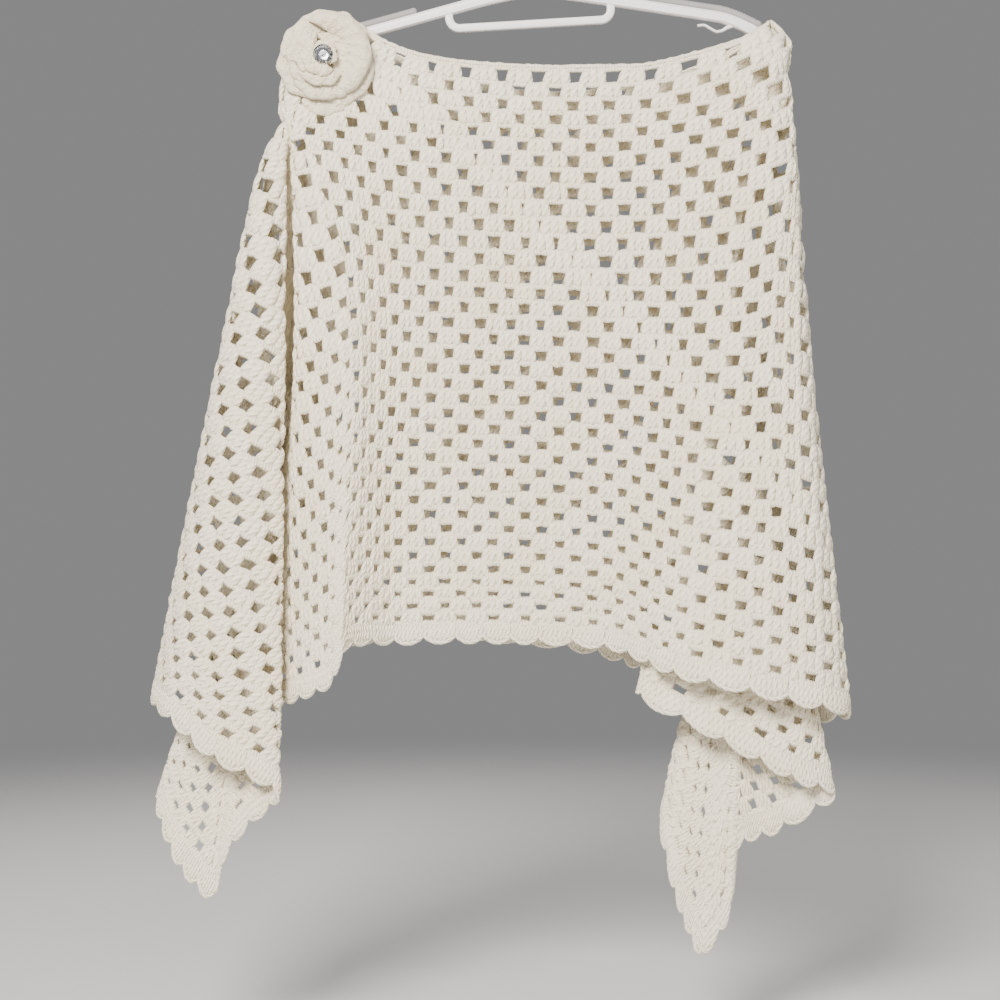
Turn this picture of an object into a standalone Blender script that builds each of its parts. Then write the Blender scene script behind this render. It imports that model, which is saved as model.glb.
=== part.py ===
"""Crochet cape with a scalloped hem and a crochet rose, hung on a plastic clothes hanger.

The cape is worked in rounds from the neck down, in two trapezoid panels, front and back, that
meet at two corner lines. Each round has two clusters more than the one above it, so each corner
is square and its point hangs as a tail. The cloth hangs from the two ends of the hanger.
X runs to the right as seen from the front, -Y is the front, +Z is up, and the origin is where
the hanger's hook is held.
"""

import math
from collections import namedtuple

import bmesh
import bpy
import numpy as np
from mathutils import Vector

MM = 0.001

# ---- driving dimensions of the crochet, in millimetres, rounds and clusters ----
NECK_CLUSTERS = 12.0        # clusters on each panel at the neck
YOKE_ROW = 4.0              # rounds that pass over the hanger's arms
MESH_ROWS = 38.0            # rounds of open clusters, neck to border
HEM_ROW = 39.5              # tips of the scallops, counted in rounds
WALL = 2.2                  # thickness of the crochet
PINCH = 0.50                # share of the wall lost where it bunches at the yoke's corners
PINCH_ROUNDS = 4.5          # rounds above and below the yoke that are bunched
PINCH_FROM = 0.7            # share of the way to the corner at which the bunching starts
PINCH_FADE = 0.25           # share of the way over which it grows to its full amount
SEAM_GAP = 0.3              # clear space between two pieces
CORNER_GAP = 1.0            # clear space between the panels at a corner line
BORDER_GAP = 0.8            # clear space between a panel and its border
NEAR_LEVEL = 0.08           # share of the drop from yoke to hem where the tucks are given
MID_LEVEL = 0.3             # share of the drop at which the folds have opened out
NEAR_SHARE = 0.35           # how far the folds have spread at the near level
CORNER_BLEND = 1.5          # clusters over which a panel's slope becomes its corner line's
RUN_ON = 1.4                # near level below the yoke, against the yoke below the shoulder
TOP_STRETCH = 0.11          # rounds near the top are this much taller than the mean
SCALLOP_NOTCH = 0.42        # depth of the notch between scallops, as a share of the border
SCALLOP_ROUND = 0.7         # below 1 makes each scallop blunter than a half sine
LEAST_SLANT = 0.2           # a round's slant against the fold lines is counted as at least this
LEAST_SQUARE = 0.35         # the same for a mitred corner
FOLD_THICKENING = 1.25      # the wall's most thickening where it turns sharply

# ---- the cloth's mesh ----
PARTS_PER_SCALLOP = 4
CLOSEST_PARTS = 0.06        # least space between two mesh lines of the border, in clusters
ROWS = [0.0, 1.0, 2.0, 3.0, 4.0, 5.2, 6.5, 8.0, 10.0, 12.5, 15.0, 18.0, 22.0, 26.0, 30.0, 34.0,
        36.2]
PANEL_LINES = {"front": 64, "back": 64}
LENGTH_WEIGHT = 0.5         # how much even spacing counts against closeness at bends
FINE_LINES = 2001           # places along a round at which the spacing is weighed
# one row for each round at which the mesh lines' spacing is weighed
Weigh = namedtuple("Weigh", "row share")
WEIGHED = [
    Weigh(1.0, 0.10),
    Weigh(4.0, 0.10),
    Weigh(6.5, 0.15),
    Weigh(14.0, 0.25),
    Weigh(39.5, 0.40),
]

# ---- the rounds that lie over the hanger: one row for each guide point of a round ----
# turn: -1 left corner, 0 front middle, 1 right corner, 2 back middle, 3 left corner again
Guide = namedtuple("Guide", "turn across depth drop")

NECK = [
    Guide(-1.00, -135, -4, 123),
    Guide(-0.80, -112, -11, 147),
    Guide(-0.58, -76, -13, 161),
    Guide(-0.35, -33, -14, 167),
    Guide(0.00, 31, -14, 170),
    Guide(0.37, 99, -14, 169),
    Guide(0.68, 155, -13, 157),
    Guide(0.89, 197, -10, 141),
    Guide(1.00, 213, 0, 124),
    Guide(1.15, 192, 11, 145),
    Guide(1.50, 120, 13, 176),
    Guide(2.00, 31, 14, 187),
    Guide(2.50, -60, 13, 174),
    Guide(2.82, -111, 12, 149),
    Guide(2.93, -134, 6, 125),
    Guide(3.00, -135, -4, 123),
]

SHOULDER = [
    Guide(-1.00, -183, -11, 154),
    Guide(-0.86, -152, -15, 168),
    Guide(-0.70, -116, -15, 181),
    Guide(-0.50, -75, -15, 189),
    Guide(0.00, 29, -15, 197),
    Guide(0.33, 98, -15, 196),
    Guide(0.60, 155, -15, 187),
    Guide(0.80, 196, -15, 172),
    Guide(0.92, 224, -10, 158),
    Guide(0.97, 234, 0, 151),
    Guide(1.04, 222, 10, 158),
    Guide(1.25, 178, 15, 182),
    Guide(2.00, 29, 15, 208),
    Guide(2.60, -95, 15, 191),
    Guide(2.85, -160, 11, 164),
    Guide(2.94, -197, 0, 147),
    Guide(3.00, -183, -11, 154),
]

YOKE = [
    Guide(-1.00, -195, -16, 207),
    Guide(-0.75, -138, -17, 214),
    Guide(-0.50, -83, -17, 219),
    Guide(-0.25, -28, -17, 222),
    Guide(0.12, 59, -17, 224),
    Guide(0.38, 118, -17, 221),
    Guide(0.62, 176, -16, 213),
    Guide(0.80, 215, -12, 202),
    Guide(0.90, 235, 0, 192),
    Guide(1.00, 223, 14, 196),
    Guide(1.25, 166, 18, 213),
    Guide(1.60, 90, 18, 224),
    Guide(2.00, 0, 18, 228),
    Guide(2.50, -110, 17, 220),
    Guide(2.75, -166, 15, 211),
    Guide(2.86, -203, 2, 201),
    Guide(2.94, -204, -9, 203),
    Guide(3.00, -195, -16, 207),
]

# ---- the folds: one row for each fold line, from the left corner round to the right ----
# cluster is counted from the panel's middle; mid is at MID_LEVEL and hem at the scallops' tips
Fold = namedtuple("Fold", "name cluster mid_across mid_depth across depth drop")

FRONT_FOLDS = [
    Fold("left corner point", -25.75, -207, -4, -256, -58, 882),
    Fold("left tail", -23.5, -203, 6, -284, -57, 852),
    Fold("left tail edge", -21.4, -197, 15, -306, -40, 798),
    Fold("left inner layer", -19.5, -189, 11, -294, -22, 779),
    Fold("left inner layer", -15.5, -187, -3, -253, -22, 746),
    Fold("left valley", -10.9, -189, -22, -203, -37, 719),
    Fold("left lobe", -9.6, -171, -33, -178, -60, 709),
    Fold("left lobe", -8.6, -155, -37, -157, -74, 698),
    Fold("left ridge", -7.9, -144, -38, -149, -77, 680),
    Fold("left facet", -7.2, -136, -36, -144, -70, 667),
    Fold("left facet", -6.0, -124, -28, -125, -46, 665),
    Fold("left facet foot", -4.9, -104, -21, -105, -25, 667),
    Fold("front", -3.1, -54, -17, -57, -16, 666),
    Fold("front middle", -0.66, 10, -17, 10, -14, 667),
    Fold("right facet foot", 1.8, 81, -18, 79, -18, 672),
    Fold("right facet", 3.2, 119, -23, 104, -40, 680),
    Fold("right facet", 4.6, 155, -29, 130, -59, 691),
    Fold("right lobe", 6.5, 207, -34, 190, -68, 705),
    Fold("right lobe", 8.2, 239, -25, 243, -64, 717),
    Fold("right side edge", 9.8, 247, 0, 281, -30, 728),
    Fold("right back fold", 11.4, 239, 21, 263, 12, 738),
    Fold("right back ridge", 13.2, 233, 29, 240, 32, 752),
    Fold("right back trough", 15.2, 226, 27, 210, 12, 766),
    Fold("right back ridge", 17.2, 219, 30, 178, 34, 784),
    Fold("right back trough", 19.0, 212, 27, 148, 18, 805),
    Fold("right tail edge", 20.6, 208, 21, 123, -1, 824),
    Fold("right tail", 22.6, 207, 12, 134, -16, 882),
    Fold("right corner point", 25.75, 206, 2, 156, -18, 939),
]

BACK_FOLDS = [
    Fold("right corner point", 25.75, 206, 2, 156, -18, 939),
    Fold("right tail", 24.0, 205, -5, 179, -16, 902),
    Fold("right tail", 22.4, 204, -10, 187, -13, 844),
    Fold("right inner layer", 20.0, 201, -15, 224, -13, 829),
    Fold("right inner edge", 17.9, 195, -19, 270, -25, 797),
    Fold("second tier", 16.0, 188, -14, 236, -39, 783),
    Fold("second tier", 13.5, 185, -4, 162, -41, 744),
    Fold("pleat edge", 11.6, 184, 6, 100, -33, 709),
    Fold("pleat", 10.0, 181, 14, 113, -14, 697),
    Fold("pleat foot", 8.2, 171, 21, 95, 8, 687),
    Fold("back", 6.2, 142, 20, 48, 14, 675),
    Fold("back", 4.2, 104, 20, -20, 14, 667),
    Fold("back ridge", 2.2, 52, 23, -55, 42, 664),
    Fold("back trough", 0.2, 2, 19, -81, 10, 664),
    Fold("back ridge", -1.9, -50, 24, -109, 44, 666),
    Fold("back trough", -3.9, -96, 19, -137, 10, 669),
    Fold("back ridge", -6.0, -144, 25, -167, 46, 674),
    Fold("back trough", -8.0, -186, 25, -197, 14, 680),
    Fold("back ridge", -10.0, -220, 24, -227, 44, 688),
    Fold("back trough", -12.0, -235, 13, -261, 16, 698),
    Fold("back ridge", -14.0, -244, -4, -295, 10, 708),
    Fold("left side edge", -15.7, -244, -21, -312, -22, 714),
    Fold("wing", -17.2, -234, -36, -291, -66, 727),
    Fold("wing", -18.8, -217, -43, -255, -79, 757),
    Fold("wing edge", -20.7, -200, -30, -200, -69, 792),
    Fold("left inner layer", -22.3, -206, -19, -226, -58, 817),
    Fold("left inner layer", -24.2, -207, -11, -247, -57, 845),
    Fold("left corner point", -25.75, -207, -4, -256, -58, 882),
]

# ---- the tucks: how the cloth bunched below the yoke's corners stands off the even spread ----
# aside and back are offsets at NEAR_LEVEL, one row for each fold line that has one
Tuck = namedtuple("Tuck", "cluster aside back")

FRONT_TUCKS = [
    Tuck(-25.75, -1, 4),
    Tuck(-23.5, 0, 4),
    Tuck(-21.4, 0, 2),
    Tuck(-19.5, 1, 1),
    Tuck(-15.5, 3, 0),
    Tuck(-9.6, 0, -2),
    Tuck(-8.0, 0, 0),
    Tuck(6.0, 0, 0),
    Tuck(7.2, 5, 2),
    Tuck(8.0, 8, -2),
    Tuck(11.4, 8, 0),
    Tuck(13.2, 5, 3),
    Tuck(17.2, 1, 3),
    Tuck(20.6, 1, 0),
    Tuck(25.75, 1, -5),
]

BACK_TUCKS = [
    Tuck(25.75, 1, -5),
    Tuck(22.4, -2, -8),
    Tuck(20.0, -5, -7),
    Tuck(17.9, -7, -4),
    Tuck(13.5, -6, 0),
    Tuck(10.0, -8, 3),
    Tuck(8.0, -11, 4),
    Tuck(7.0, -1, 2),
    Tuck(6.0, 0, 0),
    Tuck(-6.0, 0, 0),
    Tuck(-7.0, 8, 9),
    Tuck(-7.5, 2, 15),
    Tuck(-8.0, -5, 17),
    Tuck(-10.0, -4, 14),
    Tuck(-12.0, -6, 10),
    Tuck(-15.7, -6, 3),
    Tuck(-18.8, -4, 0),
    Tuck(-22.3, -3, 2),
    Tuck(-25.75, -1, 4),
]

# ---- driving dimensions of the hanger, in millimetres ----
TILT = math.radians(3.4)    # the hanger hangs a little lower on the left
HOLD_HEIGHT = 100.0         # hook's hold point above the arms' middle
HALF_SPAN = 202.0
BODY_SHIFT = 3.0            # the body hangs this far to the right of the hold point
ARM_SLOPE = 0.2125
ARM_BEND = 163.0            # from here out the arm curves down
ARM_BEND_DROP = 12.0
ARM_BEND_POWER = 1.5
ARM_SINK = 0.7              # the arms' middle line below the level frame's origin
ARM_HEIGHT = 9.4
ARM_DEPTH = 6.5
ARM_STATIONS = 33
ARM_END = 6.0               # length over which each arm's end is rounded off
HUB_HEIGHT = 4.0            # extra height of the arms below the hook
HUB_SPREAD = 26.0
HOOK_RADIUS = 24.0
HOOK_WIRE = 5.0
HOOK_STEM = 18.0            # height of the stem's thicker foot
HOOK_FROM = -72.0           # degrees round the hook at which its bow starts
HOOK_TO = 186.0
BAR_HEIGHT = 7.0
BAR_DROP = 32.0             # tie bar's middle below the arms' middle
BAR_HALF = 70.0
BAR_CORNER = 9.0
GRIP_START = 97.0
GRIP_END = 195.0
GRIP_HEIGHT = 4.2
GRIP_GAP = 0.45             # clear space between a grip and its arm
GRIP_STATIONS = 17
GRIP_END_HEIGHT = 0.6       # share of the grip's height left at its two ends
NOTCH_MIDDLE = 160.0
NOTCH_DEPTH = 4.2
# the lip below a strap notch: distance out from its middle, depth below the arm, height
NOTCH_LIP = [(16, 2.5, 4.0), (10, 7.0, 3.4), (5.0, 11.8, 2.6), (0, 13.6, 2.4),
             (-5, 11.4, 2.4), (-10, 8.9, 2.4), (-16, 10.6, 2.2)]

# ---- driving dimensions of the rose, in millimetres ----
ROSE_ACROSS = -165.5
ROSE_DROP = 165.5
ROSE_BACK = -16.0           # depth of the rose's back face
ROSE_WALL = 2.6
CORE_RADIUS = 6.5
CORE_DEPTH = 15.0
STONE_RADIUS = 7.6
SETTING_WALL = 1.0
CORE_SWELL = 3.5            # the core's domed top above its depth
PETAL_SIDES = 40            # mesh lines round a tier of petals
PETAL_STEPS = 4             # mesh rounds from root to rim
PETAL_ROUND = 0.6           # below 1 makes each petal's rim blunter
RUFFLE_LAG = 0.8            # angle by which the rim's wave trails the petals
# one row for each tier: rim radius, petals, ruffle, depth of the root and rise of the rim
Tier = namedtuple("Tier", "name rim petals turn notch root rise ruffle cup")
TIERS = [
    Tier("rose_outer_petals", 43.0, 5, 0.35, 0.07, 1.7, 5.0, 1.6, 2.4),
    Tier("rose_second_petals", 37.5, 5, 1.10, 0.09, 6.0, 9.5, 1.5, 2.2),
    Tier("rose_third_petals", 30.0, 4, 0.50, 0.09, 10.4, 13.0, 1.2, 2.0),
    Tier("rose_inner_petals", 21.0, 3, 1.70, 0.08, 14.6, 13.0, 0.9, 1.7),
]


def clear_scene():
    """Remove every object, so the script can be run again."""
    for item in list(bpy.data.objects):
        bpy.data.objects.remove(item, do_unlink=True)


def finish(name, colour, roughness, metallic=0.0, transmission=0.0):
    """Make a plain material for one sub-part."""
    material = bpy.data.materials.new(name)
    material.use_nodes = True
    shader = material.node_tree.nodes["Principled BSDF"]
    shader.inputs["Base Color"].default_value = (*colour, 1.0)
    shader.inputs["Roughness"].default_value = roughness
    shader.inputs["Metallic"].default_value = metallic
    shader.inputs["Transmission Weight"].default_value = transmission
    return material


def add_solid(name, points, faces, material, smooth=True):
    """Add one closed solid from points in millimetres."""
    mesh = bpy.data.meshes.new(name)
    mesh.from_pydata([tuple(float(v) * MM for v in p) for p in points], [], faces)
    builder = bmesh.new()
    builder.from_mesh(mesh)
    bmesh.ops.remove_doubles(builder, verts=builder.verts[:], dist=1e-7)
    bmesh.ops.triangulate(builder, faces=builder.faces[:])
    bmesh.ops.recalc_face_normals(builder, faces=builder.faces[:])
    builder.to_mesh(mesh)
    builder.free()
    if smooth:
        mesh.shade_smooth()
        mesh.set_sharp_from_angle(angle=math.radians(50.0))
    mesh.materials.append(material)
    solid = bpy.data.objects.new(name, mesh)
    bpy.context.scene.collection.objects.link(solid)
    return solid


# ---------------------------------------------------------------- the cloth's surface

def knot_slopes(knots, values):
    """Slopes at the knots of a curve that never overshoots its guide points.

    values has one entry, or one array, for each knot.
    """
    steps = np.diff(knots).reshape(-1, *([1] * (values.ndim - 1)))
    rates = np.diff(values, axis=0) / steps
    before, after = rates[:-1], rates[1:]
    same_way = before * after > 0.0
    weight_a = 2.0 * steps[1:] + steps[:-1]
    weight_b = steps[1:] + 2.0 * steps[:-1]
    safe_before = np.where(same_way, before, 1.0)
    safe_after = np.where(same_way, after, 1.0)
    mean = (weight_a + weight_b) / (weight_a / safe_before + weight_b / safe_after)
    slopes = np.concatenate([rates[:1], np.where(same_way, mean, 0.0), rates[-1:]])
    return slopes


def hermite(t, step, start, stop, start_slope, stop_slope):
    """A cubic from start to stop with the given slopes, at t from 0 to 1."""
    rise = t * t * (3.0 - 2.0 * t)
    bend = start_slope * t * (1.0 - t) ** 2 - stop_slope * t * t * (1.0 - t)
    return start * (1.0 - rise) + stop * rise + step * bend


def along(knots, values, where):
    """Read the smooth curve through (knots, values) at each place in where."""
    slopes = knot_slopes(knots, values)
    cell = np.clip(np.searchsorted(knots, where, side="right") - 1, 0, len(knots) - 2)
    step = knots[cell + 1] - knots[cell]
    t = np.clip((where - knots[cell]) / step, 0.0, 1.0)
    return hermite(t, step, values[cell], values[cell + 1], slopes[cell], slopes[cell + 1])


def read_table(rows, place, columns, where, sign=1.0):
    """Read the named columns of a table at each place in where."""
    knots = np.array([sign * getattr(row, place) for row in rows])
    return [along(knots, np.array([float(getattr(row, column)) for row in rows]), where)
            for column in columns]


def down_rounds(knots, values, row):
    """Read, for each point, the smooth curve through its own values at the rounds in knots."""
    values = np.stack(values)
    slopes = knot_slopes(knots, values)
    result = values[0]
    for k in range(len(knots) - 1):
        step = knots[k + 1] - knots[k]
        t = np.clip((row - knots[k]) / step, 0.0, 1.0)
        piece = hermite(t, step, values[k], values[k + 1], slopes[k], slopes[k + 1])
        result = np.where(row > knots[k], piece, result)
    return result


def half_width(row):
    """Clusters from a panel's middle to its corner line at a round."""
    return 0.5 * (NECK_CLUSTERS + row)


YOKE_HALF = half_width(YOKE_ROW)
HEM_HALF = half_width(HEM_ROW)
DROP_ROWS = HEM_ROW - YOKE_ROW


def fold_of(cluster, row):
    """The fold line, named by its cluster at the hem, that runs through a cluster of a round.

    Lines up to the yoke's corners hang straight. The rest fan out from the corner.
    """
    level = np.clip((row - YOKE_ROW) / DROP_ROWS, 1e-6, 1.0)
    beyond = np.maximum(np.abs(cluster) - YOKE_HALF, 0.0)
    fanned = np.minimum(YOKE_HALF + beyond / level, HEM_HALF)
    hanging = np.where(beyond > 0.0, np.sign(cluster) * fanned, cluster)
    over = YOKE_HALF * np.clip(cluster / half_width(np.minimum(row, YOKE_ROW)), -1.0, 1.0)
    return np.where(row > YOKE_ROW, hanging, over)


def cluster_of(fold, row):
    """The cluster of a round at which a fold line runs: fold_of the other way about."""
    inner = np.clip(fold, -YOKE_HALF, YOKE_HALF)
    level = max((row - YOKE_ROW) / DROP_ROWS, 0.0)
    above = half_width(min(row, YOKE_ROW)) / YOKE_HALF
    return inner * above + (fold - inner) * level


def surface(panel, cluster, row):
    """Points of the cloth's middle layer, in millimetres.

    panel is "front" or "back", cluster counts from the panel's middle and row from the neck.
    """
    cluster, row = np.broadcast_arrays(np.asarray(cluster, float), np.asarray(row, float))
    front = panel == "front"
    fold = fold_of(cluster, row)
    turn = np.clip(fold / YOKE_HALF, -1.0, 1.0)
    turn = turn if front else 2.0 - turn
    sign = 1.0 if front else -1.0
    folds = FRONT_FOLDS if front else BACK_FOLDS
    tucks = FRONT_TUCKS if front else BACK_TUCKS
    place = ("across", "depth", "drop")
    neck = read_table(NECK, "turn", place, turn)
    shoulder = read_table(SHOULDER, "turn", place, turn)
    yoke = read_table(YOKE, "turn", place, turn)
    mid = read_table(folds, "cluster", ("mid_across", "mid_depth"), sign * fold, sign)
    hem = read_table(folds, "cluster", place, sign * fold, sign)
    tuck = read_table(tucks, "cluster", ("aside", "back"), sign * fold, sign)
    near = [y + (m - y) * NEAR_SHARE + t for y, m, t in zip(yoke, mid, tuck)]
    near_fall, mid_fall = (v + TOP_STRETCH * v * (1.0 - v) for v in (NEAR_LEVEL, MID_LEVEL))
    near.append(yoke[2] + (hem[2] - yoke[2]) * near_fall)
    mid.append(yoke[2] + (hem[2] - yoke[2]) * mid_fall)
    # above the yoke, both panels run straight on along the corner line they share
    share = np.clip((np.abs(fold) - YOKE_HALF) / CORNER_BLEND + 1.0, 0.0, 1.0)
    share = np.where(row > YOKE_ROW, 0.0, share * share * (3.0 - 2.0 * share))
    near = [n + share * (y + (y - s) * RUN_ON - n) for n, y, s in zip(near, yoke, shoulder)]
    knots = np.array([0.0, 0.5 * YOKE_ROW, YOKE_ROW, YOKE_ROW + NEAR_LEVEL * DROP_ROWS,
                      YOKE_ROW + MID_LEVEL * DROP_ROWS, HEM_ROW])
    point = [down_rounds(knots, levels, row) for levels in zip(neck, shoulder, yoke, near, mid, hem)]
    return np.stack([point[0], point[1], -point[2]], axis=-1)


def mesh_folds(panel):
    """Fold lines that the mesh follows, closer together where the rounds bend."""
    fine = np.linspace(-HEM_HALF, HEM_HALF, FINE_LINES)
    cost = np.zeros(len(fine) - 1)
    for weigh in WEIGHED:
        path = surface(panel, cluster_of(fine, weigh.row), weigh.row)
        step = np.diff(path, axis=0)
        length = np.linalg.norm(step, axis=1)
        heading = unit(step)
        bend = np.zeros_like(length)
        bend[1:] = np.arccos(np.clip(np.sum(heading[1:] * heading[:-1], axis=1), -1.0, 1.0))
        bend[1:][(length[1:] < 1e-6) | (length[:-1] < 1e-6)] = 0.0
        cost += weigh.share * (LENGTH_WEIGHT * length / length.sum() + bend / bend.sum())
    total = np.concatenate([[0.0], np.cumsum(cost)])
    ends = (-HEM_HALF, -YOKE_HALF, YOKE_HALF, HEM_HALF)
    folds = [np.array([-HEM_HALF])]
    for low, high in zip(ends[:-1], ends[1:]):
        low_cost, high_cost = np.interp([low, high], fine, total)
        count = max(round((high_cost - low_cost) / total[-1] * PANEL_LINES[panel]), 2)
        part = np.interp(np.linspace(low_cost, high_cost, count + 1), total, fine)
        part[-1] = high
        folds.append(part[1:])
    return np.concatenate(folds)


def mesh_lines(panel, rows):
    """Cluster of each mesh line of a panel at each round: a grid of rounds by lines."""
    folds = mesh_folds(panel)
    return np.stack([cluster_of(folds, row) for row in rows])


def unit(vectors):
    """Vectors at length one."""
    return vectors / np.maximum(np.linalg.norm(vectors, axis=-1, keepdims=True), 1e-9)


def cloth_walls(panel, rows):
    """Mesh lines, outer and inner points of a panel's wall, and the step to half a seam gap.

    At each corner the wall is mitred with the other panel, half a seam gap short of the corner.
    Up to the yoke all the lines beyond its corners run together on the corner line.
    """
    other = "back" if panel == "front" else "front"
    lines, beside_lines = mesh_lines(panel, rows), mesh_lines(other, rows)
    level = np.asarray(rows)[:, None]
    grid = surface(panel, lines, np.broadcast_to(level, lines.shape))
    beside = surface(other, beside_lines, np.broadcast_to(level, beside_lines.shape))
    folds, beside_folds = mesh_folds(panel), mesh_folds(other)
    outward = np.zeros_like(grid)
    seam_step = np.zeros_like(grid)
    lean = np.ones(grid.shape[:2])
    for r, row in enumerate(rows):
        reach = HEM_HALF if row > YOKE_ROW else YOKE_HALF
        live = np.nonzero(np.abs(folds) <= reach + 1e-9)[0]
        first, last = live[0], live[-1]
        next_live = np.nonzero(np.abs(beside_folds) <= reach + 1e-9)[0]
        wide = np.concatenate([beside[r, next_live[1:2]], grid[r, live], beside[r, next_live[-2:-1]]])
        headings = unit(np.diff(wide, axis=0))
        across = unit(headings[1:] + headings[:-1])
        below = grid[min(r + 1, len(rows) - 1), live]
        above = grid[max(r - 1, 0), live]
        down = unit(unit(below - grid[r, live]) + unit(grid[r, live] - above))
        cross = np.cross(down, across)
        outward[r, live] = unit(cross)
        slant = np.maximum(np.linalg.norm(cross, axis=1, keepdims=True), LEAST_SLANT)
        seam_step[r, live] = down * 0.5 * BORDER_GAP / slant
        lean[r, live] = np.sum(across * headings[1:], axis=1)
        for edge, inside, slot in ((first, first + 1, 0), (last, last - 1, -1)):
            inwards = unit(grid[r, inside] - grid[r, edge])
            square = max(abs(float(np.dot(inwards, across[slot]))), LEAST_SQUARE)
            grid[r, edge] += inwards * 0.5 * CORNER_GAP / square
        for source, beyond in ((first, slice(0, first)), (last, slice(last + 1, None))):
            grid[r, beyond] = grid[r, source]
            outward[r, beyond] = outward[r, source]
            lean[r, beyond] = lean[r, source]
    spot = np.abs(lines) / half_width(level)
    beside_corner = np.clip((spot - PINCH_FROM) / PINCH_FADE, 0.0, 1.0)
    bunched = np.exp(-((level - YOKE_ROW) / PINCH_ROUNDS) ** 2) * beside_corner
    thickened = np.clip(1.0 / np.maximum(lean, 0.1), 1.0, FOLD_THICKENING)
    wall = WALL * (1.0 - PINCH * bunched) * thickened
    offset = 0.5 * wall[:, :, None] * outward
    return lines, grid + offset, grid - offset, seam_step


def slab(outer, inner):
    """Vertices and faces of the closed solid between two matching grids."""
    rows, columns = outer.shape[:2]
    points = np.concatenate([outer.reshape(-1, 3), inner.reshape(-1, 3)])
    shift = rows * columns
    faces = []
    for r in range(rows - 1):
        for c in range(columns - 1):
            a, b = r * columns + c, r * columns + c + 1
            d, e = a + columns, b + columns
            faces.append((a, b, e, d))
            faces.append((shift + a, shift + d, shift + e, shift + b))
    top = [c for c in range(columns)]
    right = [r * columns + columns - 1 for r in range(1, rows)]
    bottom = [(rows - 1) * columns + c for c in range(columns - 2, -1, -1)]
    left = [r * columns for r in range(rows - 2, 0, -1)]
    ring = top + right + bottom + left
    for i, a in enumerate(ring):
        b = ring[(i + 1) % len(ring)]
        faces.append((b, a, shift + a, shift + b))
    return points, faces


def scalloped(lines, upper, lower):
    """Points of the border's two layers from its top round and its round of scallop tips.

    lines gives the clusters of the tips' mesh lines; upper and lower are (outer, inner) rows.
    """
    scallops = round(2.0 * HEM_HALF)
    fine = np.linspace(lines[0], lines[-1], scallops * PARTS_PER_SCALLOP + 1)
    apart = np.abs(fine[:, None] - lines[None, :]).min(axis=1) > CLOSEST_PARTS
    fine = np.sort(np.concatenate([fine[apart], lines]))
    phase = (fine - lines[0]) / (lines[-1] - lines[0]) * scallops
    reach = 1.0 - SCALLOP_NOTCH * (1.0 - np.abs(np.sin(math.pi * phase)) ** SCALLOP_ROUND)
    layers = []
    for top_row, low_row in zip(upper, lower):
        top = np.stack([np.interp(fine, lines, top_row[:, k]) for k in range(3)], axis=1)
        low = np.stack([np.interp(fine, lines, low_row[:, k]) for k in range(3)], axis=1)
        layers.append(np.stack([top, top + (low - top) * reach[:, None]]))
    return layers


def build_panel(panel, material):
    """One panel of open crochet from the neck down, and the shell edging below it."""
    lines, outer, inner, seam_step = cloth_walls(panel, ROWS + [MESH_ROWS, HEM_ROW])
    step = seam_step[-2]
    points, faces = slab(np.concatenate([outer[:-2], [outer[-2] - step]]),
                         np.concatenate([inner[:-2], [inner[-2] - step]]))
    add_solid("cape_" + panel, points, faces, material)
    edging = scalloped(lines[-1], (outer[-2] + step, inner[-2] + step), (outer[-1], inner[-1]))
    points, faces = slab(*edging)
    add_solid("border_" + panel, points, faces, material)


# ---------------------------------------------------------------- the hanger

def tilted(x, z, y=0.0):
    """A point of the hanger, from its own level frame to the part's frame.

    The level frame's origin is the middle of the arms, below the hook.
    """
    aside, below = x + BODY_SHIFT, z - HOLD_HEIGHT
    cos, sin = math.cos(TILT), math.sin(TILT)
    return Vector((aside * cos - below * sin, y, aside * sin + below * cos))


def arm_height(x):
    """Height of the arms' middle line at a distance from the centre, in the level frame."""
    far = max(abs(x) - ARM_BEND, 0.0) / (HALF_SPAN - ARM_BEND)
    return -ARM_SLOPE * abs(x) - ARM_BEND_DROP * far ** ARM_BEND_POWER - ARM_SINK


def sweep(path, sizes, sides, power=3.0):
    """Vertices and faces of a rounded bar along a flat path in the hanger's own plane."""
    points, faces = [], []
    count = len(path)
    for i, (x, z) in enumerate(path):
        ahead = path[min(i + 1, count - 1)]
        behind = path[max(i - 1, 0)]
        tangent = Vector((ahead[0] - behind[0], ahead[1] - behind[1])).normalized()
        side = Vector((-tangent.y, tangent.x))
        high, deep = sizes[i]
        for k in range(sides):
            angle = 2.0 * math.pi * (k + 0.5) / sides
            c, s = math.cos(angle), math.sin(angle)
            h = 0.5 * high * math.copysign(abs(c) ** (2.0 / power), c)
            d = 0.5 * deep * math.copysign(abs(s) ** (2.0 / power), s)
            points.append(tilted(x + side.x * h, z + side.y * h, d))
    for i in range(count - 1):
        for k in range(sides):
            a, b = i * sides + k, i * sides + (k + 1) % sides
            faces.append((a, b, b + sides, a + sides))
    faces.append(tuple(range(sides - 1, -1, -1)))
    faces.append(tuple((count - 1) * sides + k for k in range(sides)))
    return points, faces


def unite(name, pieces, material):
    """Join overlapping solids into one closed body."""
    base = pieces[0]
    for extra in pieces[1:]:
        cut = base.modifiers.new("join", "BOOLEAN")
        cut.operation = "UNION"
        cut.solver = "EXACT"
        cut.object = extra
        extra.hide_render = True
        extra.display_type = "WIRE"
    base.name = name
    base.data.name = name
    base.data.materials.clear()
    base.data.materials.append(material)
    return base


def arc(cx, cz, radius, start, stop, count):
    """Points of an arc in the hanger's plane, angles in degrees."""
    return [(cx + radius * math.cos(math.radians(start + (stop - start) * i / (count - 1))),
             cz + radius * math.sin(math.radians(start + (stop - start) * i / (count - 1))))
            for i in range(count)]


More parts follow.
